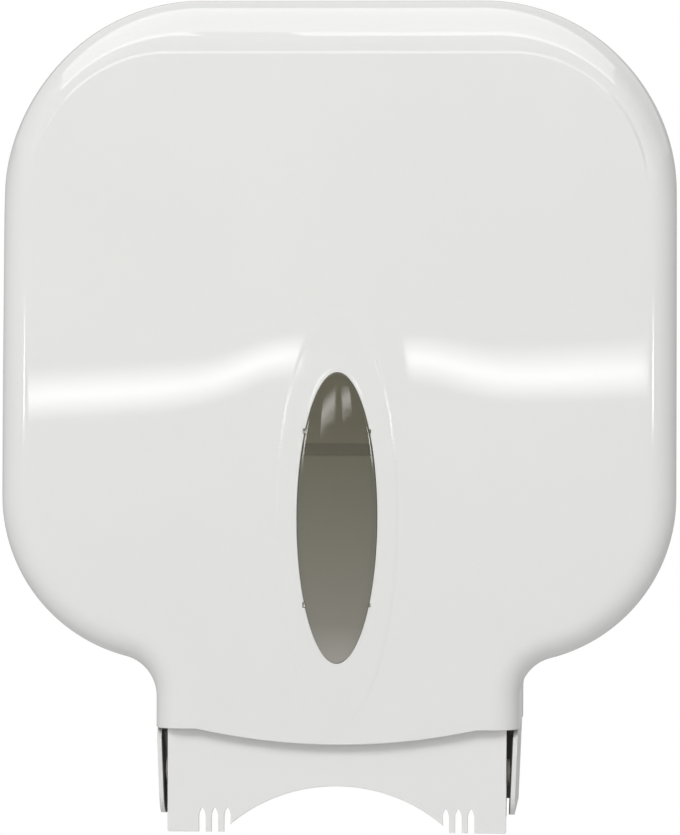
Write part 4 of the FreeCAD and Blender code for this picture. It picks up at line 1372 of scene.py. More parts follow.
@dataclass
class SmokedWindow:
    """The convex smoked lens with its flange and snap hooks."""

    half_x: float = 0.0212
    half_z: float = 0.077
    middle_z: float = -0.0965
    rim_depth: float = 0.1262
    dome: float = 0.0019
    thick: float = 0.0026
    edge_r: float = 0.0005
    flange: float = 0.0036
    flange_front: float = 0.1238
    flange_rear: float = 0.1222
    clip_z_off: float = 0.046
    clip_width: float = 0.0022
    clip_out: float = 0.0009
    clip_rear: float = 0.1198
    steps: int = 160

    def ring(self, grow: float, scale: float, depth: Callable) -> np.ndarray:
        """Make one elliptical ring.

        Args:
            grow: how far outside the lens's edge it lies.
            scale: its size as a share.
            depth: depth as a function of the place's share of the way to the edge.

        Returns:
            Its points.
        """
        turns = TURN * np.arange(self.steps) / self.steps
        x = (self.half_x + grow) * scale * np.cos(turns)
        z = (self.half_z + grow) * scale * np.sin(turns)
        deep = depth(np.full_like(x, scale))
        return np.stack([x, -deep, self.middle_z + z], 1)

    def flat_ring(self, grow: float, deep: float) -> np.ndarray:
        """Make a ring at one depth, `grow` outside the lens's edge."""
        return self.ring(grow, 1.0, lambda share: np.full_like(share, deep))

    def crown(self, share: np.ndarray) -> np.ndarray:
        """Depth of the domed front at a share of the way to the edge."""
        return self.rim_depth + self.dome * np.power(np.clip(1 - share ** 2, 0, 1), 0.8)

    def lens(self, finishes: Finishes) -> bpy.types.Object:
        """Make the lens and its flange as one closed ring-by-ring mesh."""
        shares = np.sin(np.linspace(0.04, 1, 30) * math.pi / 2) * (1 - self.edge_r / self.half_x)
        rings = [self.ring(0.0, float(s), self.crown) for s in shares]
        for turn in np.linspace(0.25, 1, 4) * math.pi / 2:
            deep = self.rim_depth - self.edge_r * (1 - math.cos(turn))
            rings.append(self.flat_ring(-self.edge_r * (1 - math.sin(turn)), deep))
        steps = [(0.0, self.flange_front + 0.0002), (0.0, self.flange_front), (0.0002, self.flange_front),
                 (self.flange - 0.0003, self.flange_front), (self.flange, self.flange_front - 0.0003),
                 (self.flange, self.flange_rear + 0.0003), (self.flange - 0.0003, self.flange_rear),
                 (-0.0016, self.flange_rear), (-0.0022, self.flange_rear + 0.0004),
                 (-0.0026, self.flange_rear + 0.0012)]
        for grow, deep in steps:
            rings.append(self.flat_ring(grow, deep))
        limit = 1 - 0.0030 / self.half_x
        rings += [self.ring(0.0, float(s) * limit, lambda q: self.crown(q) - self.thick)
                  for s in np.sin(np.linspace(1, 0.04, 24) * math.pi / 2)]
        points = np.concatenate(rings + [[[0, -float(self.crown(np.array(0.0))), self.middle_z]],
                                         [[0, self.thick - float(self.crown(np.array(0.0))), self.middle_z]]])
        faces = []
        rows = [range(k * self.steps, (k + 1) * self.steps) for k in range(len(rings))]
        for low, high in zip(rows, rows[1:]):
            faces.extend(band_faces(low, high))
        front, rear, last = len(points) - 2, len(points) - 1, (len(rings) - 1) * self.steps
        for j in range(self.steps):
            nxt = (j + 1) % self.steps
            faces.append([front, nxt, j])
            faces.append([rear, last + j, last + nxt])
        lens = new_object("smoked_lens", points, faces, finishes.of(Slot.WINDOW))
        facing_out(lens)
        return lens

    def hooks(self, finishes: Finishes) -> list:
        """Make the four snap hooks at the lens's edge."""
        out = []
        for side in (-1, 1):
            for z_off in (-self.clip_z_off, self.clip_z_off):
                edge = self.half_x * math.sqrt(1 - (z_off / self.half_z) ** 2)
                z = self.middle_z + z_off
                low = Vector((edge - 0.0002, -self.rim_depth - 0.0006, z - self.clip_width / 2))
                high = Vector((edge + self.clip_out, -self.clip_rear, z + self.clip_width / 2))
                out.append(rounded_box("hook", low, high, 0.0003, finishes.of(Slot.WINDOW), side))
        return out

    def build(self, finishes: Finishes) -> bpy.types.Object:
        """Build the window and settle it on its body.

        Args:
            finishes: the finishes.

        Returns:
            The piece.
        """
        whole = joined("smoked_window_lens", [self.lens(finishes)] + self.hooks(finishes))
        return settle(whole, Body.COVER, Slot.WINDOW, "window")


def rounded_box(name: str, low: Vector, high: Vector, radius: float, material: bpy.types.Material,
                side: int = 1) -> bpy.types.Object:
    """Make a box with rounded edges.

    Args:
        name: the object's name.
        low: one corner.
        high: the opposite corner.
        radius: edge radius.
        material: its material.
        side: -1 mirrors it to the other side of the middle plane.

    Returns:
        The object.
    """
    cage = bmesh.new()
    bmesh.ops.create_cube(cage, size=1.0)
    middle, size = (low + high) / 2, high - low
    for vert in cage.verts:
        place = middle + Vector(vert.co[k] * size[k] for k in range(3))
        vert.co = Vector((place.x * side, place.y, place.z))
    bmesh.ops.bevel(cage, geom=cage.edges[:], offset=radius, segments=3, profile=0.5, affect="EDGES")
    bmesh.ops.recalc_face_normals(cage, faces=cage.faces)
    mesh = bpy.data.meshes.new(name)
    cage.to_mesh(mesh)
    cage.free()
    mesh.materials.append(material)
    return linked(name, mesh)


def moulded_plate(name: str, outline: np.ndarray, near: float, far: float, radius: float,
                  lift: Callable, material: bpy.types.Material) -> bpy.types.Object:
    """Make a plate with rounded edges from its outline.

    Args:
        name: the object's name.
        outline: closed 2-D outline, anticlockwise.
        near: where one face lies, along the thickness.
        far: where the other face lies.
        radius: edge radius.
        lift: turns arrays of the two outline values and the thickness value into 3-D points.
        material: its material.

    Returns:
        The object.
    """
    before = outline - np.roll(outline, 1, axis=0)
    after = np.roll(outline, -1, axis=0) - outline
    before /= np.linalg.norm(before, axis=1, keepdims=True)
    after /= np.linalg.norm(after, axis=1, keepdims=True)
    n0 = np.stack([before[:, 1], -before[:, 0]], 1)
    n1 = np.stack([after[:, 1], -after[:, 0]], 1)
    mid = n0 + n1
    mid /= np.linalg.norm(mid, axis=1, keepdims=True)
    mid /= np.maximum(np.sum(mid * n1, axis=1, keepdims=True), 0.45)
    step = 1.0 if far > near else -1.0
    turns = [math.pi / 2 * k / 4 for k in range(5)]
    rows = [(radius * (1 - math.sin(t)), near + step * radius * (1 - math.cos(t))) for t in turns]
    rows += [(radius * (1 - math.cos(t)), far - step * radius * (1 - math.sin(t))) for t in turns]
    points = [lift(*(outline - mid * inset).T, level) for inset, level in rows]
    count = len(outline)
    numbers = [range(k * count, (k + 1) * count) for k in range(len(rows))]
    faces = [face for low, high in zip(numbers, numbers[1:]) for face in band_faces(low, high)]
    faces.append(list(range(count)))
    faces.append([(len(rows) - 1) * count + j for j in reversed(range(count))])
    obj = new_object(name, np.concatenate(points), faces, material)
    facing_out(obj)
    weigh_normals(obj)
    return obj


def weigh_normals(obj: bpy.types.Object) -> None:
    """Let the large faces of a mesh lead its shading."""
    obj.modifiers.new("shade", "WEIGHTED_NORMAL").keep_sharp = False
    applied(obj)


def corner_arc(x: float, z: float, radius: float, start: float, end: float, spans: int) -> np.ndarray:
    """Points round an arc, angles in degrees."""
    t = np.radians(np.linspace(start, end, spans + 1))
    return np.stack([x + radius * np.cos(t), z + radius * np.sin(t)], 1)


@dataclass
class TearPlate:
    """The plate below the cover that the paper is torn against."""

    half: float = 0.090
    front: float = 0.120
    thick: float = 0.0025
    top_z: float = -0.189
    bottom_z: float = -0.2635
    corner_r: float = 0.001
    edge_r: float = 0.0005
    arch_half: float = 0.0566
    arch_rise: float = 0.0206
    arch_edge_z: float = -0.2596
    slot_x: float = 0.058
    slot_pitch: float = 0.0067
    slot_count: int = 3
    slot_half: float = 0.00175
    slot_top_z: float = -0.2505
    slot_point: float = 0.005
    return_back: float = 0.090
    return_bottom_z: float = -0.256
    return_top_z: float = -0.208
    return_corner_r: float = 0.010

    def slot(self, x: float) -> np.ndarray:
        """Trace one pointed slot, from its left foot over the point to its right foot."""
        spring = self.slot_top_z - self.slot_point
        w, h = self.slot_half, self.slot_point
        radius = (w * w + h * h) / (2 * w)
        t = np.linspace(0, 1, 9) * math.asin(min(h / radius, 1.0))
        bow_x, bow_z = w - radius * (1 - np.cos(t)), spring + radius * np.sin(t)
        left = np.stack([x - bow_x, bow_z], 1)
        right = np.stack([x + bow_x[::-1][1:], bow_z[::-1][1:]], 1)
        feet_l, feet_r = [[x - w, self.bottom_z]], [[x + w, self.bottom_z]]
        return np.concatenate([feet_l, left, right, feet_r])

    def outline(self) -> np.ndarray:
        """Trace the plate's outline anticlockwise, seen from the front."""
        r, h = self.corner_r, self.half
        radius = (self.arch_half ** 2 + self.arch_rise ** 2) / (2 * self.arch_rise)
        span = math.asin(self.arch_half / radius)
        t = np.linspace(-span, span, 61)
        arch_z = self.arch_edge_z + self.arch_rise - radius * (1 - np.cos(t))
        arch = np.stack([radius * np.sin(t), arch_z], 1)
        slots = [self.slot(self.slot_x + self.slot_pitch * k) for k in range(self.slot_count)]
        first = slots[0][slots[0][:, 0] > self.arch_half]
        right = [first] + slots[1:]
        left = [np.stack([-s[:, 0], s[:, 1]], 1)[::-1] for s in right][::-1]
        side = self.slot_side(arch[-1])
        parts = [corner_arc(-h + r, self.top_z - r, r, 90, 180, 8),
                 corner_arc(-h + r, self.bottom_z + r, r, 180, 270, 8)]
        parts += left + [np.stack([-side[:, 0], side[:, 1]], 1)[::-1], arch, side] + right
        parts += [corner_arc(h - r, self.bottom_z + r, r, 270, 360, 8),
                  corner_arc(h - r, self.top_z - r, r, 0, 90, 8)]
        loop = np.concatenate([p for p in parts if len(p)])
        gap = np.linalg.norm(loop - np.roll(loop, 1, axis=0), axis=1)
        return loop[gap > 1e-5]

    def slot_side(self, start: np.ndarray) -> np.ndarray:
        """Left half of the first slot, which opens into the arch's end."""
        slot = self.slot(self.slot_x)
        return slot[(slot[:, 0] <= self.arch_half + 0.0002) & (slot[:, 1] > start[1] + 0.0004)]

    def build(self, finishes: Finishes) -> bpy.types.Object:
        """Build the plate with its two side walls and settle it.

        Args:
            finishes: the finishes.

        Returns:
            The piece.
        """
        material = finishes.of(Slot.TEAR)
        front = moulded_plate("tear_front", self.outline(), self.front, self.front - self.thick, self.edge_r,
                              lambda x, z, d: np.stack([x, np.full_like(x, -d), z], 1), material)
        r = self.return_corner_r
        low, back, fore = self.return_bottom_z, self.return_back, self.front - self.thick / 2
        wall = np.concatenate([[[fore, low], [fore, self.return_top_z]],
                               corner_arc(back + r, self.return_top_z - r, r, 90, 180, 10),
                               corner_arc(back + r, low + r, r, 180, 270, 10)])
        sides = [moulded_plate("tear_side", wall, side * self.half, side * (self.half - self.thick), 0.0006,
                               lambda d, z, x: np.stack([np.full_like(d, x), -d, z], 1), material)
                 for side in (-1, 1)]
        whole = joined("tear_plate_moulding", [front] + sides)
        weigh_normals(whole)
        return settle(whole, Body.COVER, Slot.TEAR, "tear_plate")


class NodeShapes(Graph):
    """A geometry node tree with short calls for the shapes used here."""

    def __init__(self, name: str, sizes: Sequence[tuple]) -> None:
        """Start a tree with a geometry input and named sizes.

        Args:
            name: the tree's name.
            sizes: (name, socket type) for each input.
        """
        tree = bpy.data.node_groups.new(name, "GeometryNodeTree")
        super().__init__(tree)
        tree.interface.new_socket("Geometry", in_out="INPUT", socket_type="NodeSocketGeometry")
        for label, kind in sizes:
            tree.interface.new_socket(label, in_out="INPUT", socket_type=kind)
        tree.interface.new_socket("Geometry", in_out="OUTPUT", socket_type="NodeSocketGeometry")
        self.start = self.add("NodeGroupInput")
        self.end = self.add("NodeGroupOutput")

    def size(self, label: str) -> bpy.types.NodeSocket:
        """Return a named input."""
        return self.start.outputs[label]

    def vector(self, x: object, y: object, z: object) -> bpy.types.NodeSocket:
        """Combine three values into a vector."""
        return self.add("ShaderNodeCombineXYZ", {"X": x, "Y": y, "Z": z}).outputs[0]

    def moved(self, mesh: object, x: object = 0.0, y: object = 0.0, z: object = 0.0,
              scale: object = None, turn: object = None) -> bpy.types.NodeSocket:
        """Move, turn and scale a shape."""
        node = self.add("GeometryNodeTransform", {"Geometry": mesh, "Translation": self.vector(x, y, z)})
        if scale is not None:
            self.feed(node.inputs["Scale"], scale)
        if turn is not None:
            self.feed(node.inputs["Rotation"], turn)
        return node.outputs[0]

    def bar(self, radius: object, length: object, sides: int = 48) -> bpy.types.NodeSocket:
        """Round bar along Z, with its middle at the origin."""
        node = self.add("GeometryNodeMeshCylinder", {"Vertices": sides, "Radius": radius, "Depth": length})
        return node.outputs["Mesh"]

    def block(self, x: object, y: object, z: object) -> bpy.types.NodeSocket:
        """Block with its middle at the origin."""
        node = self.add("GeometryNodeMeshCube", {"Size": self.vector(x, y, z)})
        return node.outputs["Mesh"]

    def united(self, operation: str, first: object, others: Sequence[object]) -> bpy.types.NodeSocket:
        """Combine solids by a Boolean."""
        node = self.add("GeometryNodeMeshBoolean", operation=operation)
        if operation == "DIFFERENCE":
            self.feed(node.inputs["Mesh 1"], first)
        else:
            self.tree.links.new(first, node.inputs["Mesh 2"])
        for other in others:
            self.tree.links.new(other, node.inputs["Mesh 2"])
        return node.outputs["Mesh"]

    def gathered(self, *shapes: object) -> bpy.types.NodeSocket:
        """Join shapes without merging them."""
        node = self.add("GeometryNodeJoinGeometry")
        for shape in shapes:
            self.tree.links.new(shape, node.inputs[0])
        return node.outputs[0]

    def close(self, instances: object, smooth_below: float = 34.0) -> None:
        """Realize, shade and set the material, and end the tree.

        Args:
            instances: what to put out.
            smooth_below: edges sharper than this many degrees stay sharp.
        """
        real = self.add("GeometryNodeRealizeInstances", {"Geometry": instances}).outputs[0]
        smooth = self.add("GeometryNodeSetShadeSmooth", {"Geometry": real}, domain="FACE").outputs[0]
        angle = self.add("GeometryNodeInputMeshEdgeAngle").outputs["Unsigned Angle"]
        steep = self.add("FunctionNodeCompare", {"A": angle, "B": math.radians(smooth_below)},
                         operation="GREATER_THAN").outputs[0]
        sharp = self.add("GeometryNodeSetShadeSmooth", {"Geometry": smooth, "Selection": steep,
                                                        "Shade Smooth": False}, domain="EDGE").outputs[0]
        final = self.add("GeometryNodeSetMaterial", {"Geometry": sharp, "Material": self.size("Material")})
        self.feed(self.end.inputs[0], final.outputs[0])


def run_nodes(name: str, tree: bpy.types.NodeTree, seeds: Sequence[Vector],
              values: dict) -> bpy.types.Object:
    """Run a geometry node tree on a set of points and keep the plain mesh.

    Args:
        name: the object's name.
        tree: the tree.
        seeds: the points that it works from.
        values: its inputs by name.

    Returns:
        The object.
    """
    mesh = bpy.data.meshes.new(name)
    mesh.from_pydata([tuple(p) for p in seeds], [], [])
    obj = linked(name, mesh)
    modifier = obj.modifiers.new("build", "NODES")
    modifier.node_group = tree
    for item in tree.interface.items_tree:
        if item.item_type == "SOCKET" and item.in_out == "INPUT" and item.name in values:
            modifier[item.identifier] = values[item.name]
    return applied(obj)


def screw_tree() -> bpy.types.NodeTree:
    """Build the tree of a pan head cross-recess screw, one at each point."""
    g = NodeShapes("pan_head_screws", [
        ("Head Radius", "NodeSocketFloat"), ("Head Height", "NodeSocketFloat"),
        ("Shaft Radius", "NodeSocketFloat"), ("Shaft Length", "NodeSocketFloat"),
        ("Recess Width", "NodeSocketFloat"), ("Recess Length", "NodeSocketFloat"),
        ("Towards", "NodeSocketVector"), ("Seed", "NodeSocketInt"), ("Material", "NodeSocketMaterial")])
    head_r, head_h = g.size("Head Radius"), g.size("Head Height")
    skirt = g.moved(g.bar(head_r, g.maths("MULTIPLY", head_h, 0.5)), z=g.maths("MULTIPLY", head_h, 0.25))
    ball = g.add("GeometryNodeMeshUVSphere", {"Segments": 48, "Rings": 24, "Radius": 1.0}).outputs["Mesh"]
    dome = g.moved(ball, z=g.maths("MULTIPLY", head_h, 0.48),
                   scale=g.vector(head_r, head_r, g.maths("MULTIPLY", head_h, 0.52)))
    head = g.united("UNION", skirt, [dome])
    width, length = g.size("Recess Width"), g.size("Recess Length")
    deep = g.maths("MULTIPLY", head_h, 1.3)
    slots = [g.moved(g.block(length, width, deep), z=head_h), g.moved(g.block(width, length, deep), z=head_h)]
    cone = g.add("GeometryNodeMeshCone", {
        "Vertices": 24, "Radius Top": g.maths("MULTIPLY", width, 1.4), "Radius Bottom": 0.00005,
        "Depth": deep}).outputs["Mesh"]
    pit = g.moved(cone, z=g.maths("MULTIPLY", head_h, 0.38))
    head = g.united("DIFFERENCE", head, slots + [pit])
    shaft_r, shaft_l = g.size("Shaft Radius"), g.size("Shaft Length")
    shaft = g.moved(g.bar(shaft_r, shaft_l, 32), z=g.maths("MULTIPLY", shaft_l, -0.5))
    up = g.add("FunctionNodeAlignRotationToVector", {"Vector": g.size("Towards")}, axis="Z")
    spin = g.add("FunctionNodeRandomValue", {"Seed": g.size("Seed"), 2: 0.0, 3: TURN}, data_type="FLOAT")
    about = g.add("FunctionNodeAxisAngleToRotation", {"Axis": (0.0, 0.0, 1.0), "Angle": spin.outputs[1]})
    turn = g.add("FunctionNodeRotateRotation",
                 {"Rotation": up.outputs[0], "Rotate By": about.outputs[0]}, rotation_space="LOCAL")
    points = g.add("GeometryNodeMeshToPoints", {"Mesh": g.size("Geometry")}).outputs[0]
    placed_screws = g.add("GeometryNodeInstanceOnPoints", {
        "Points": points, "Instance": g.gathered(head, shaft), "Rotation": turn.outputs[0]})
    g.close(placed_screws.outputs[0])
    return g.tree


@dataclass
class ScrewSet:
    """Screws of one size on one body."""

    name: str
    node: str
    body: Body
    slot: Slot
    places: Sequence[tuple]
    out: tuple
    head_r: float = 0.003
    head_h: float = 0.002
    shaft_r: float = 0.00148
    shaft_l: float = 0.005
    seed: int = 3

    def build(self, finishes: Finishes, tree: bpy.types.NodeTree) -> bpy.types.Object:
        """Build the screws and settle them.

        Args:
            finishes: the finishes.
            tree: the screws' node tree.

        Returns:
            The piece.
        """
        obj = run_nodes(self.name, tree, [Vector(p) for p in self.places], {
            "Head Radius": self.head_r, "Head Height": self.head_h, "Shaft Radius": self.shaft_r,
            "Shaft Length": self.shaft_l, "Recess Width": self.head_r * 0.2,
            "Recess Length": self.head_r * 1.15, "Towards": self.out, "Seed": self.seed,
            "Material": finishes.of(self.slot)})
        return settle(obj, self.body, self.slot, self.node)


@dataclass
class WallBase:
    """The moulded base with its ribs, platform and outlet walls, and the keeper on it."""

    edge: float = 0.0005
    keeper_edge: float = 0.0005

    def build(self, finishes: Finishes) -> list:
        """Build the base and the keeper and settle them.

        Args:
            finishes: the finishes.

        Returns:
            The pieces.
        """
        return [softened_piece("wall_base_moulding", "back_plate", Body.BASE, Slot.BASE, self.edge,
                               finishes),
                softened_piece("lock_keeper_bracket", "lock_keeper", Body.BASE, Slot.KEEPER,
                               self.keeper_edge, finishes)]


@dataclass
class HingeParts:
    """The two hinge pins and the washers on them."""

    depth: float = 0.103
    height: float = -0.232
    head_in: float = 0.0859
    head_out: float = 0.0875
    pin_r: float = 0.00299
    head_r: float = 0.005
    washer_r: float = 0.007
    bore_r: float = 0.00302

    def build(self, finishes: Finishes) -> list:
        """Build the pins and washers and settle them.

        Args:
            finishes: the finishes.

        Returns:
            The pieces.
        """
        out = []
        for side, node in ((1, "hinge_pin_right"), (-1, "hinge_pin_left")):
            low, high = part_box(node)
            end = high.x if side > 0 else -low.x
            profile = rounded_profile([(0.0, self.head_in), (self.head_r, self.head_in),
                                       (self.head_r, self.head_out), (self.pin_r, self.head_out),
                                       (self.pin_r, end), (0.0, end)], 0.0005)
            pin = lathe(node + "_ground", profile, self.centre(), Vector((side, 0, 0)), 48,
                        finishes.of(Slot.PIN))
            weigh_normals(pin)
            out.append(settle(pin, Body.BASE, Slot.PIN, node))
        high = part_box("hinge_washers")[1]
        washers = []
        for side in (1, -1):
            profile = rounded_profile([(self.bore_r, 0.09), (self.washer_r, 0.09), (self.washer_r, high.x),
                                       (self.bore_r, high.x)], 0.0003)
            washers.append(lathe("washer", profile, self.centre(), Vector((side, 0, 0)), 64,
                                 finishes.of(Slot.NYLON)))
        both = joined("hinge_washers_nylon", washers)
        weigh_normals(both)
        out.append(settle(both, Body.BASE, Slot.NYLON, "hinge_washers"))
        return out

    def centre(self) -> Vector:
        """Point on the hinge axis in the middle plane."""
        return Vector((0, -self.depth, self.height))


@dataclass
class Lock:
    """The keyed lock in the top of the cover."""

    depth: float = 0.040
    flange_r: float = 0.010
    flange_h: float = 0.0015
    body_r: float = 0.0085
    bore_r: float = 0.00654
    bottom_z: float = 0.1655
    thread_start: float = 0.0008
    thread_end: float = 0.006
    thread_pitch: float = 0.0006
    thread_deep: float = 0.0004

    def at(self, z: float) -> Vector:
        """Point on the lock's axis."""
        return Vector((0, -self.depth, z))

    def build(self, finishes: Finishes, tree: bpy.types.NodeTree) -> list:
        """Build the lock's pieces and settle them.

        Args:
            finishes: the finishes.
            tree: the screws' node tree.

        Returns:
            The pieces.
        """
        up = Vector((0, 0, 1))
        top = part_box("lock_housing")[1].z
        seat = top - self.flange_h
        ridges = []
        z = self.bottom_z + self.thread_start
        while z < seat - self.thread_end:
            ridges += [(self.body_r, z), (self.body_r - self.thread_deep, z + self.thread_pitch / 2),
                       (self.body_r, z + self.thread_pitch)]
            z += self.thread_pitch
        profile = [(self.bore_r, self.bottom_z), (self.body_r - 0.0005, self.bottom_z)] + ridges[:-1] + [
            (self.body_r, z + self.thread_pitch), (self.body_r, seat), (self.flange_r - 0.0002, seat),
            (self.flange_r, seat + 0.0002), (self.flange_r, seat + 0.0006),
            (self.flange_r - 0.0002, seat + 0.0010), (self.flange_r - 0.0006, seat + 0.0013),
            (self.flange_r - 0.0012, top), (self.bore_r + 0.0005, top),
            (self.bore_r + 0.0001, top - 0.0001), (self.bore_r, top - 0.0004)]
        housing = lathe("lock_housing_plated", profile, self.at(0.0), up, 96, finishes.of(Slot.LOCK))
        weigh_normals(housing)
        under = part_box("lock_cam")[0].z
        screw = ScrewSet("cam_screw_pan", "cam_screw", Body.LOCK, Slot.SCREW, [(0, -self.depth, under)],
                         (0, 0, -1), 0.004, 0.0024, 0.00195, 0.0105, 5)
        return [settle(housing, Body.COVER, Slot.LOCK, "lock_housing"),
                softened_piece("lock_barrel_turned", "lock_barrel", Body.LOCK, Slot.BARREL, 0.00025,
                               finishes),
                softened_piece("lock_cam_pressed", "lock_cam", Body.LOCK, Slot.CAM, 0.0003, finishes),
                softened_piece("lock_nut_brass", "lock_nut", Body.COVER, Slot.NUT, 0.0005, finishes),
                screw.build(finishes, tree)]


@dataclass
class Spindle:
    """The fixed axle, the drag washer, the spinning hub and what keeps it on."""

    axle_edge: float = 0.0006
    hub_edge: float = 0.0006
    felt_edge: float = 0.0006
    washer_edge: float = 0.0003

    def build(self, finishes: Finishes, tree: bpy.types.NodeTree) -> list:
        """Build the spindle's pieces and settle them.

        Args:
            finishes: the finishes.
            tree: the screws' node tree.

        Returns:
            The pieces.
        """
        plans = [("spindle_axle_moulding", "spindle_axle", Body.BASE, Slot.AXLE, self.axle_edge),
                 ("spindle_hub_moulding", "spindle_hub", Body.HUB, Slot.HUB, self.hub_edge),
                 ("drag_washer_felt", "drag_washer", Body.BASE, Slot.FELT, self.felt_edge),
                 ("hub_washer_stamped", "hub_washer", Body.BASE, Slot.WASHER, self.washer_edge)]
        pieces = [softened_piece(*plan, finishes) for plan in plans]
        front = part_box("hub_washer")[0].y
        screw = ScrewSet("hub_screw_pan", "hub_screw", Body.BASE, Slot.SCREW, [(0, front, 0)], (0, -1, 0),
                         0.005, 0.003, 0.00245, 0.0175, 8)
        return pieces + [screw.build(finishes, tree)]


@dataclass
class SmallScrews:
    """The screws of the tear plate, the keeper and the axle's flange."""

    tear_rear: float = 0.1175
    tear_z: float = -0.199
    axle_off: float = 0.027
    axle_front: float = 0.013
    keeper_x: float = 0.022
    keeper_front: float = 0.0055

    def build(self, finishes: Finishes, tree: bpy.types.NodeTree) -> list:
        """Build the sets and settle them.

        Args:
            finishes: the finishes.
            tree: the screws' node tree.

        Returns:
            The pieces.
        """
        low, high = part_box("keeper_screws")
        heights = (low.z + 0.003, high.z - 0.003)
        axle = [(x, -self.axle_front, z) for x in (-self.axle_off, self.axle_off)
                for z in (-self.axle_off, self.axle_off)]
        sets = [
            ScrewSet("tear_plate_screws_pan", "tear_plate_screws", Body.COVER, Slot.SCREW,
                     [(x, -self.tear_rear, self.tear_z) for x in TEAR_SCREW_X], (0, 1, 0), shaft_l=0.0065),
            ScrewSet("axle_screws_pan", "axle_screws", Body.BASE, Slot.SCREW, axle, (0, -1, 0),
                     shaft_l=0.0075),
            ScrewSet("keeper_screws_pan", "keeper_screws", Body.BASE, Slot.SCREW,
                     [(self.keeper_x, -self.keeper_front, z) for z in heights], (0, -1, 0), shaft_l=0.0045),
        ]
        return [screws.build(finishes, tree) for screws in sets]


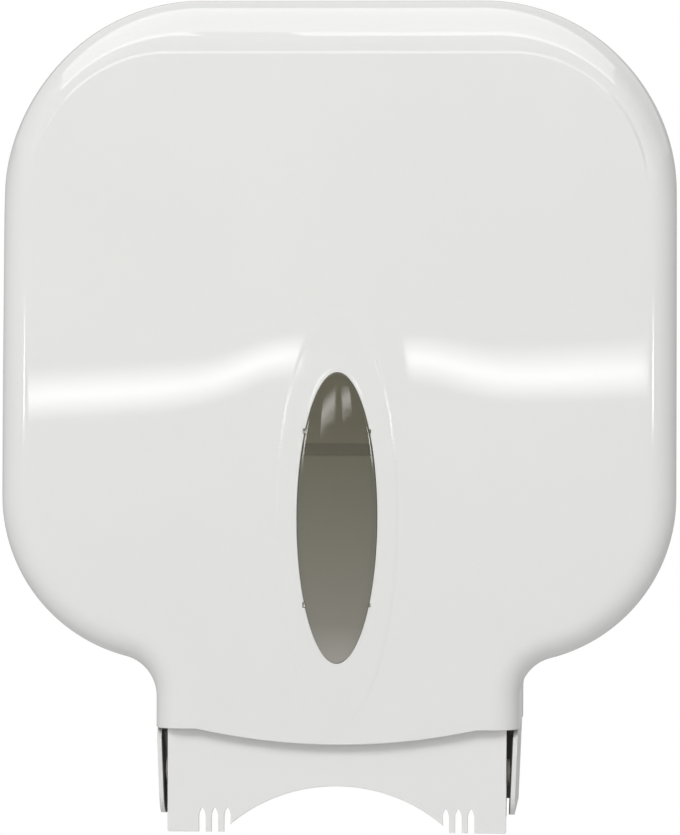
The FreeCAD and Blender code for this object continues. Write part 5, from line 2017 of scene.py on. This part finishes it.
@dataclass
class Studio:
    """Floor, lights and camera."""

    camera_x: float = 0.11
    camera_y: float = -2.5
    camera_z: float = -0.0432
    roll: float = math.radians(-0.17)
    outline_depth: float = 0.105
    aim_x: float = 0.0005
    photo_height: int = 835
    photo_scale: float = 0.0005302
    front_depth: float = 0.12
    sensor: float = 24.0
    floor_z: float = -0.9
    world_level: float = 0.49
    front_power: float = 88.0
    overhead_z: float = 1.6
    overhead_front: float = -0.93
    overhead_near: float = -1.30
    overhead_level: float = 2.3
    near_level: float = 4.2

    def sheet(self, name: str, corners: Sequence[tuple],
              material: bpy.types.Material) -> bpy.types.Object:
        """Make a face with four corners that the camera doesn't see.

        Args:
            name: its name.
            corners: its corners, in order round it.
            material: its material.

        Returns:
            The object.
        """
        mesh = bpy.data.meshes.new(name)
        mesh.from_pydata([tuple(corner) for corner in corners], [], [(0, 1, 2, 3)])
        mesh.materials.append(material)
        obj = linked(name, mesh)
        obj.visible_camera = False
        return obj

    def emitter(self, name: str, left: Vector, right: Vector, half: float, level: float,
                fade: float) -> bpy.types.Object:
        """Make a long softbox that faces the object, fading towards its upper and lower edge.

        Args:
            name: its name.
            left: middle of its left end.
            right: middle of its right end, at the same y.
            half: half its height.
            level: brightness along its middle.
            fade: share of its half-height over which it fades.

        Returns:
            The object.
        """
        material, g = bare_material(name)
        split = g.add("ShaderNodeSeparateXYZ", {"Vector": g.add("ShaderNodeTexCoord").outputs["Object"]})
        slope = (right.z - left.z) / (right.x - left.x)
        line = g.maths("ADD", g.maths("MULTIPLY", split.outputs["X"], slope), left.z - slope * left.x)
        off = g.maths("ABSOLUTE", g.maths("SUBTRACT", split.outputs["Z"], line))
        glow = g.span(off, level, 0.0, half * (1 - fade), half)
        g.surface(g.add("ShaderNodeEmission", {"Strength": glow}))
        up = Vector((0, 0, half))
        return self.sheet(name, [left + up, right + up, right - up, left - up], material)

    def overhead(self, name: str, low: Vector, high: Vector, level: float) -> bpy.types.Object:
        """Make a softbox over the object that faces down and acts by reflection only.

        Args:
            name: its name.
            low: its rear left corner.
            high: its front right corner, at the same height.
            level: its brightness.

        Returns:
            The object.
        """
        material, g = bare_material(name)
        g.surface(g.add("ShaderNodeEmission", {"Strength": level}))
        corners = [low, (low.x, high.y, low.z), high, (high.x, low.y, low.z)]
        obj = self.sheet(name, corners, material)
        obj.visible_shadow = False
        obj.visible_diffuse = False
        return obj

    def seen(self, g: Graph) -> bpy.types.NodeSocket:
        """Return 1 for rays from the camera, straight or through the window, and 0 for others."""
        path = g.add("ShaderNodeLightPath")
        return g.maths("MAXIMUM", path.outputs["Is Camera Ray"], path.outputs["Is Transmission Ray"])

    def floor(self) -> bpy.types.Object:
        """Make the pale floor, which the camera sees through to the white world."""
        material, g = bare_material("pale_floor")
        shade = g.add("ShaderNodeBsdfDiffuse", {"Color": (0.8, 0.8, 0.8, 1.0)})
        white = g.add("ShaderNodeEmission", {"Color": (1, 1, 1, 1), "Strength": 1.0})
        g.surface(g.add("ShaderNodeMixShader", {0: self.seen(g), 1: shade.outputs[0], 2: white.outputs[0]}))
        corners = [(x, y, self.floor_z) for x, y in ((-3, -4), (3, -4), (3, 2), (-3, 2))]
        return self.sheet("floor", corners, material)

    def world(self) -> None:
        """Light the room evenly; the camera sees white."""
        world = bpy.data.worlds.new("studio")
        world.use_nodes = True
        g = Graph(world.node_tree)
        level = g.span(self.seen(g), self.world_level, 1.0)
        g.surface(g.add("ShaderNodeBackground", {"Color": (1, 1, 1, 1), "Strength": level}),
                  "ShaderNodeOutputWorld")
        bpy.context.scene.world = world

    def lamp(self, name: str, place: Vector, size: tuple, power: float) -> None:
        """Hang a large soft lamp that faces the origin.

        Args:
            name: its name.
            place: where it hangs.
            size: its width and height.
            power: its power in watts.
        """
        data = bpy.data.lights.new(name, "AREA")
        data.shape = "RECTANGLE"
        data.size, data.size_y = size
        data.energy = power
        obj = linked(name, data)
        obj.location = place
        obj.rotation_euler = (-place).to_track_quat("-Z", "Y").to_euler()
        obj.visible_glossy = False

    def camera(self) -> None:
        """Set the camera at the photograph's place and angle of view."""
        data = bpy.data.cameras.new("camera")
        data.sensor_fit = "VERTICAL"
        data.sensor_height = self.sensor
        distance = -self.camera_y - self.front_depth
        data.lens = self.sensor * distance / (self.photo_height * self.photo_scale)
        data.clip_end = 20.0
        obj = linked("camera", data)
        obj.location = (self.camera_x, self.camera_y, self.camera_z)
        yaw = math.atan2(self.camera_x - self.aim_x, -self.camera_y - self.outline_depth)
        obj.rotation_euler = (math.pi / 2, self.roll, yaw)
        bpy.context.scene.camera = obj

    def build(self) -> None:
        """Set the studio up."""
        self.world()
        y, z, front, near = self.camera_y, self.overhead_z, self.overhead_front, self.overhead_near
        boxes = [self.emitter(name, Vector((x0, y, z0)), Vector((x1, y, z1)), half, level, fade)
                 for name, x0, z0, x1, z1, half, level, fade in (
                     ("softbox_left", -0.462, 0.122, -0.150, 0.164, 0.078, 6.7, 1.0),
                     ("softbox_right", -0.003, 0.160, 0.220, 0.196, 0.078, 6.7, 1.0),
                     ("side_left", -1.22, 0.17, -1.04, 0.17, 0.18, 15.0, 0.7),
                     ("side_right", 0.84, 0.17, 1.02, 0.17, 0.18, 15.0, 0.7))]
        panels = [self.overhead(name, Vector((x0, y0, height)), Vector((x1, y1, height)), level)
                  for name, x0, y0, x1, y1, height, level in (
                      ("ceiling", -4.0, 5.0, 4.0, front, z + 0.05, 0.95),
                      ("overhead", -1.7, 1.0, 1.4, front, z, self.overhead_level),
                      ("overhead_left", -1.7, front, -0.21, near, z, self.near_level),
                      ("overhead_right", -0.12, front, 1.4, near, z, self.near_level))]
        self.floor()
        self.lamp("front_top", Vector((-0.7, -3.3, 2.6)), (1.6, 1.5), self.front_power)
        self.camera()
        bpy.context.scene.view_settings.view_transform = "Standard"


def main() -> None:
    """Build every piece in order and report it."""
    logging.basicConfig(level=logging.INFO, format="%(message)s")
    finishes = Finishes()
    tree = screw_tree()
    WallBase().build(finishes)
    FrontCover().build(finishes)
    SmokedWindow().build(finishes)
    TearPlate().build(finishes)
    HingeParts().build(finishes)
    Lock().build(finishes, tree)
    Spindle().build(finishes, tree)
    SmallScrews().build(finishes, tree)
    Studio().build()


if __name__ == "__main__":
    main()
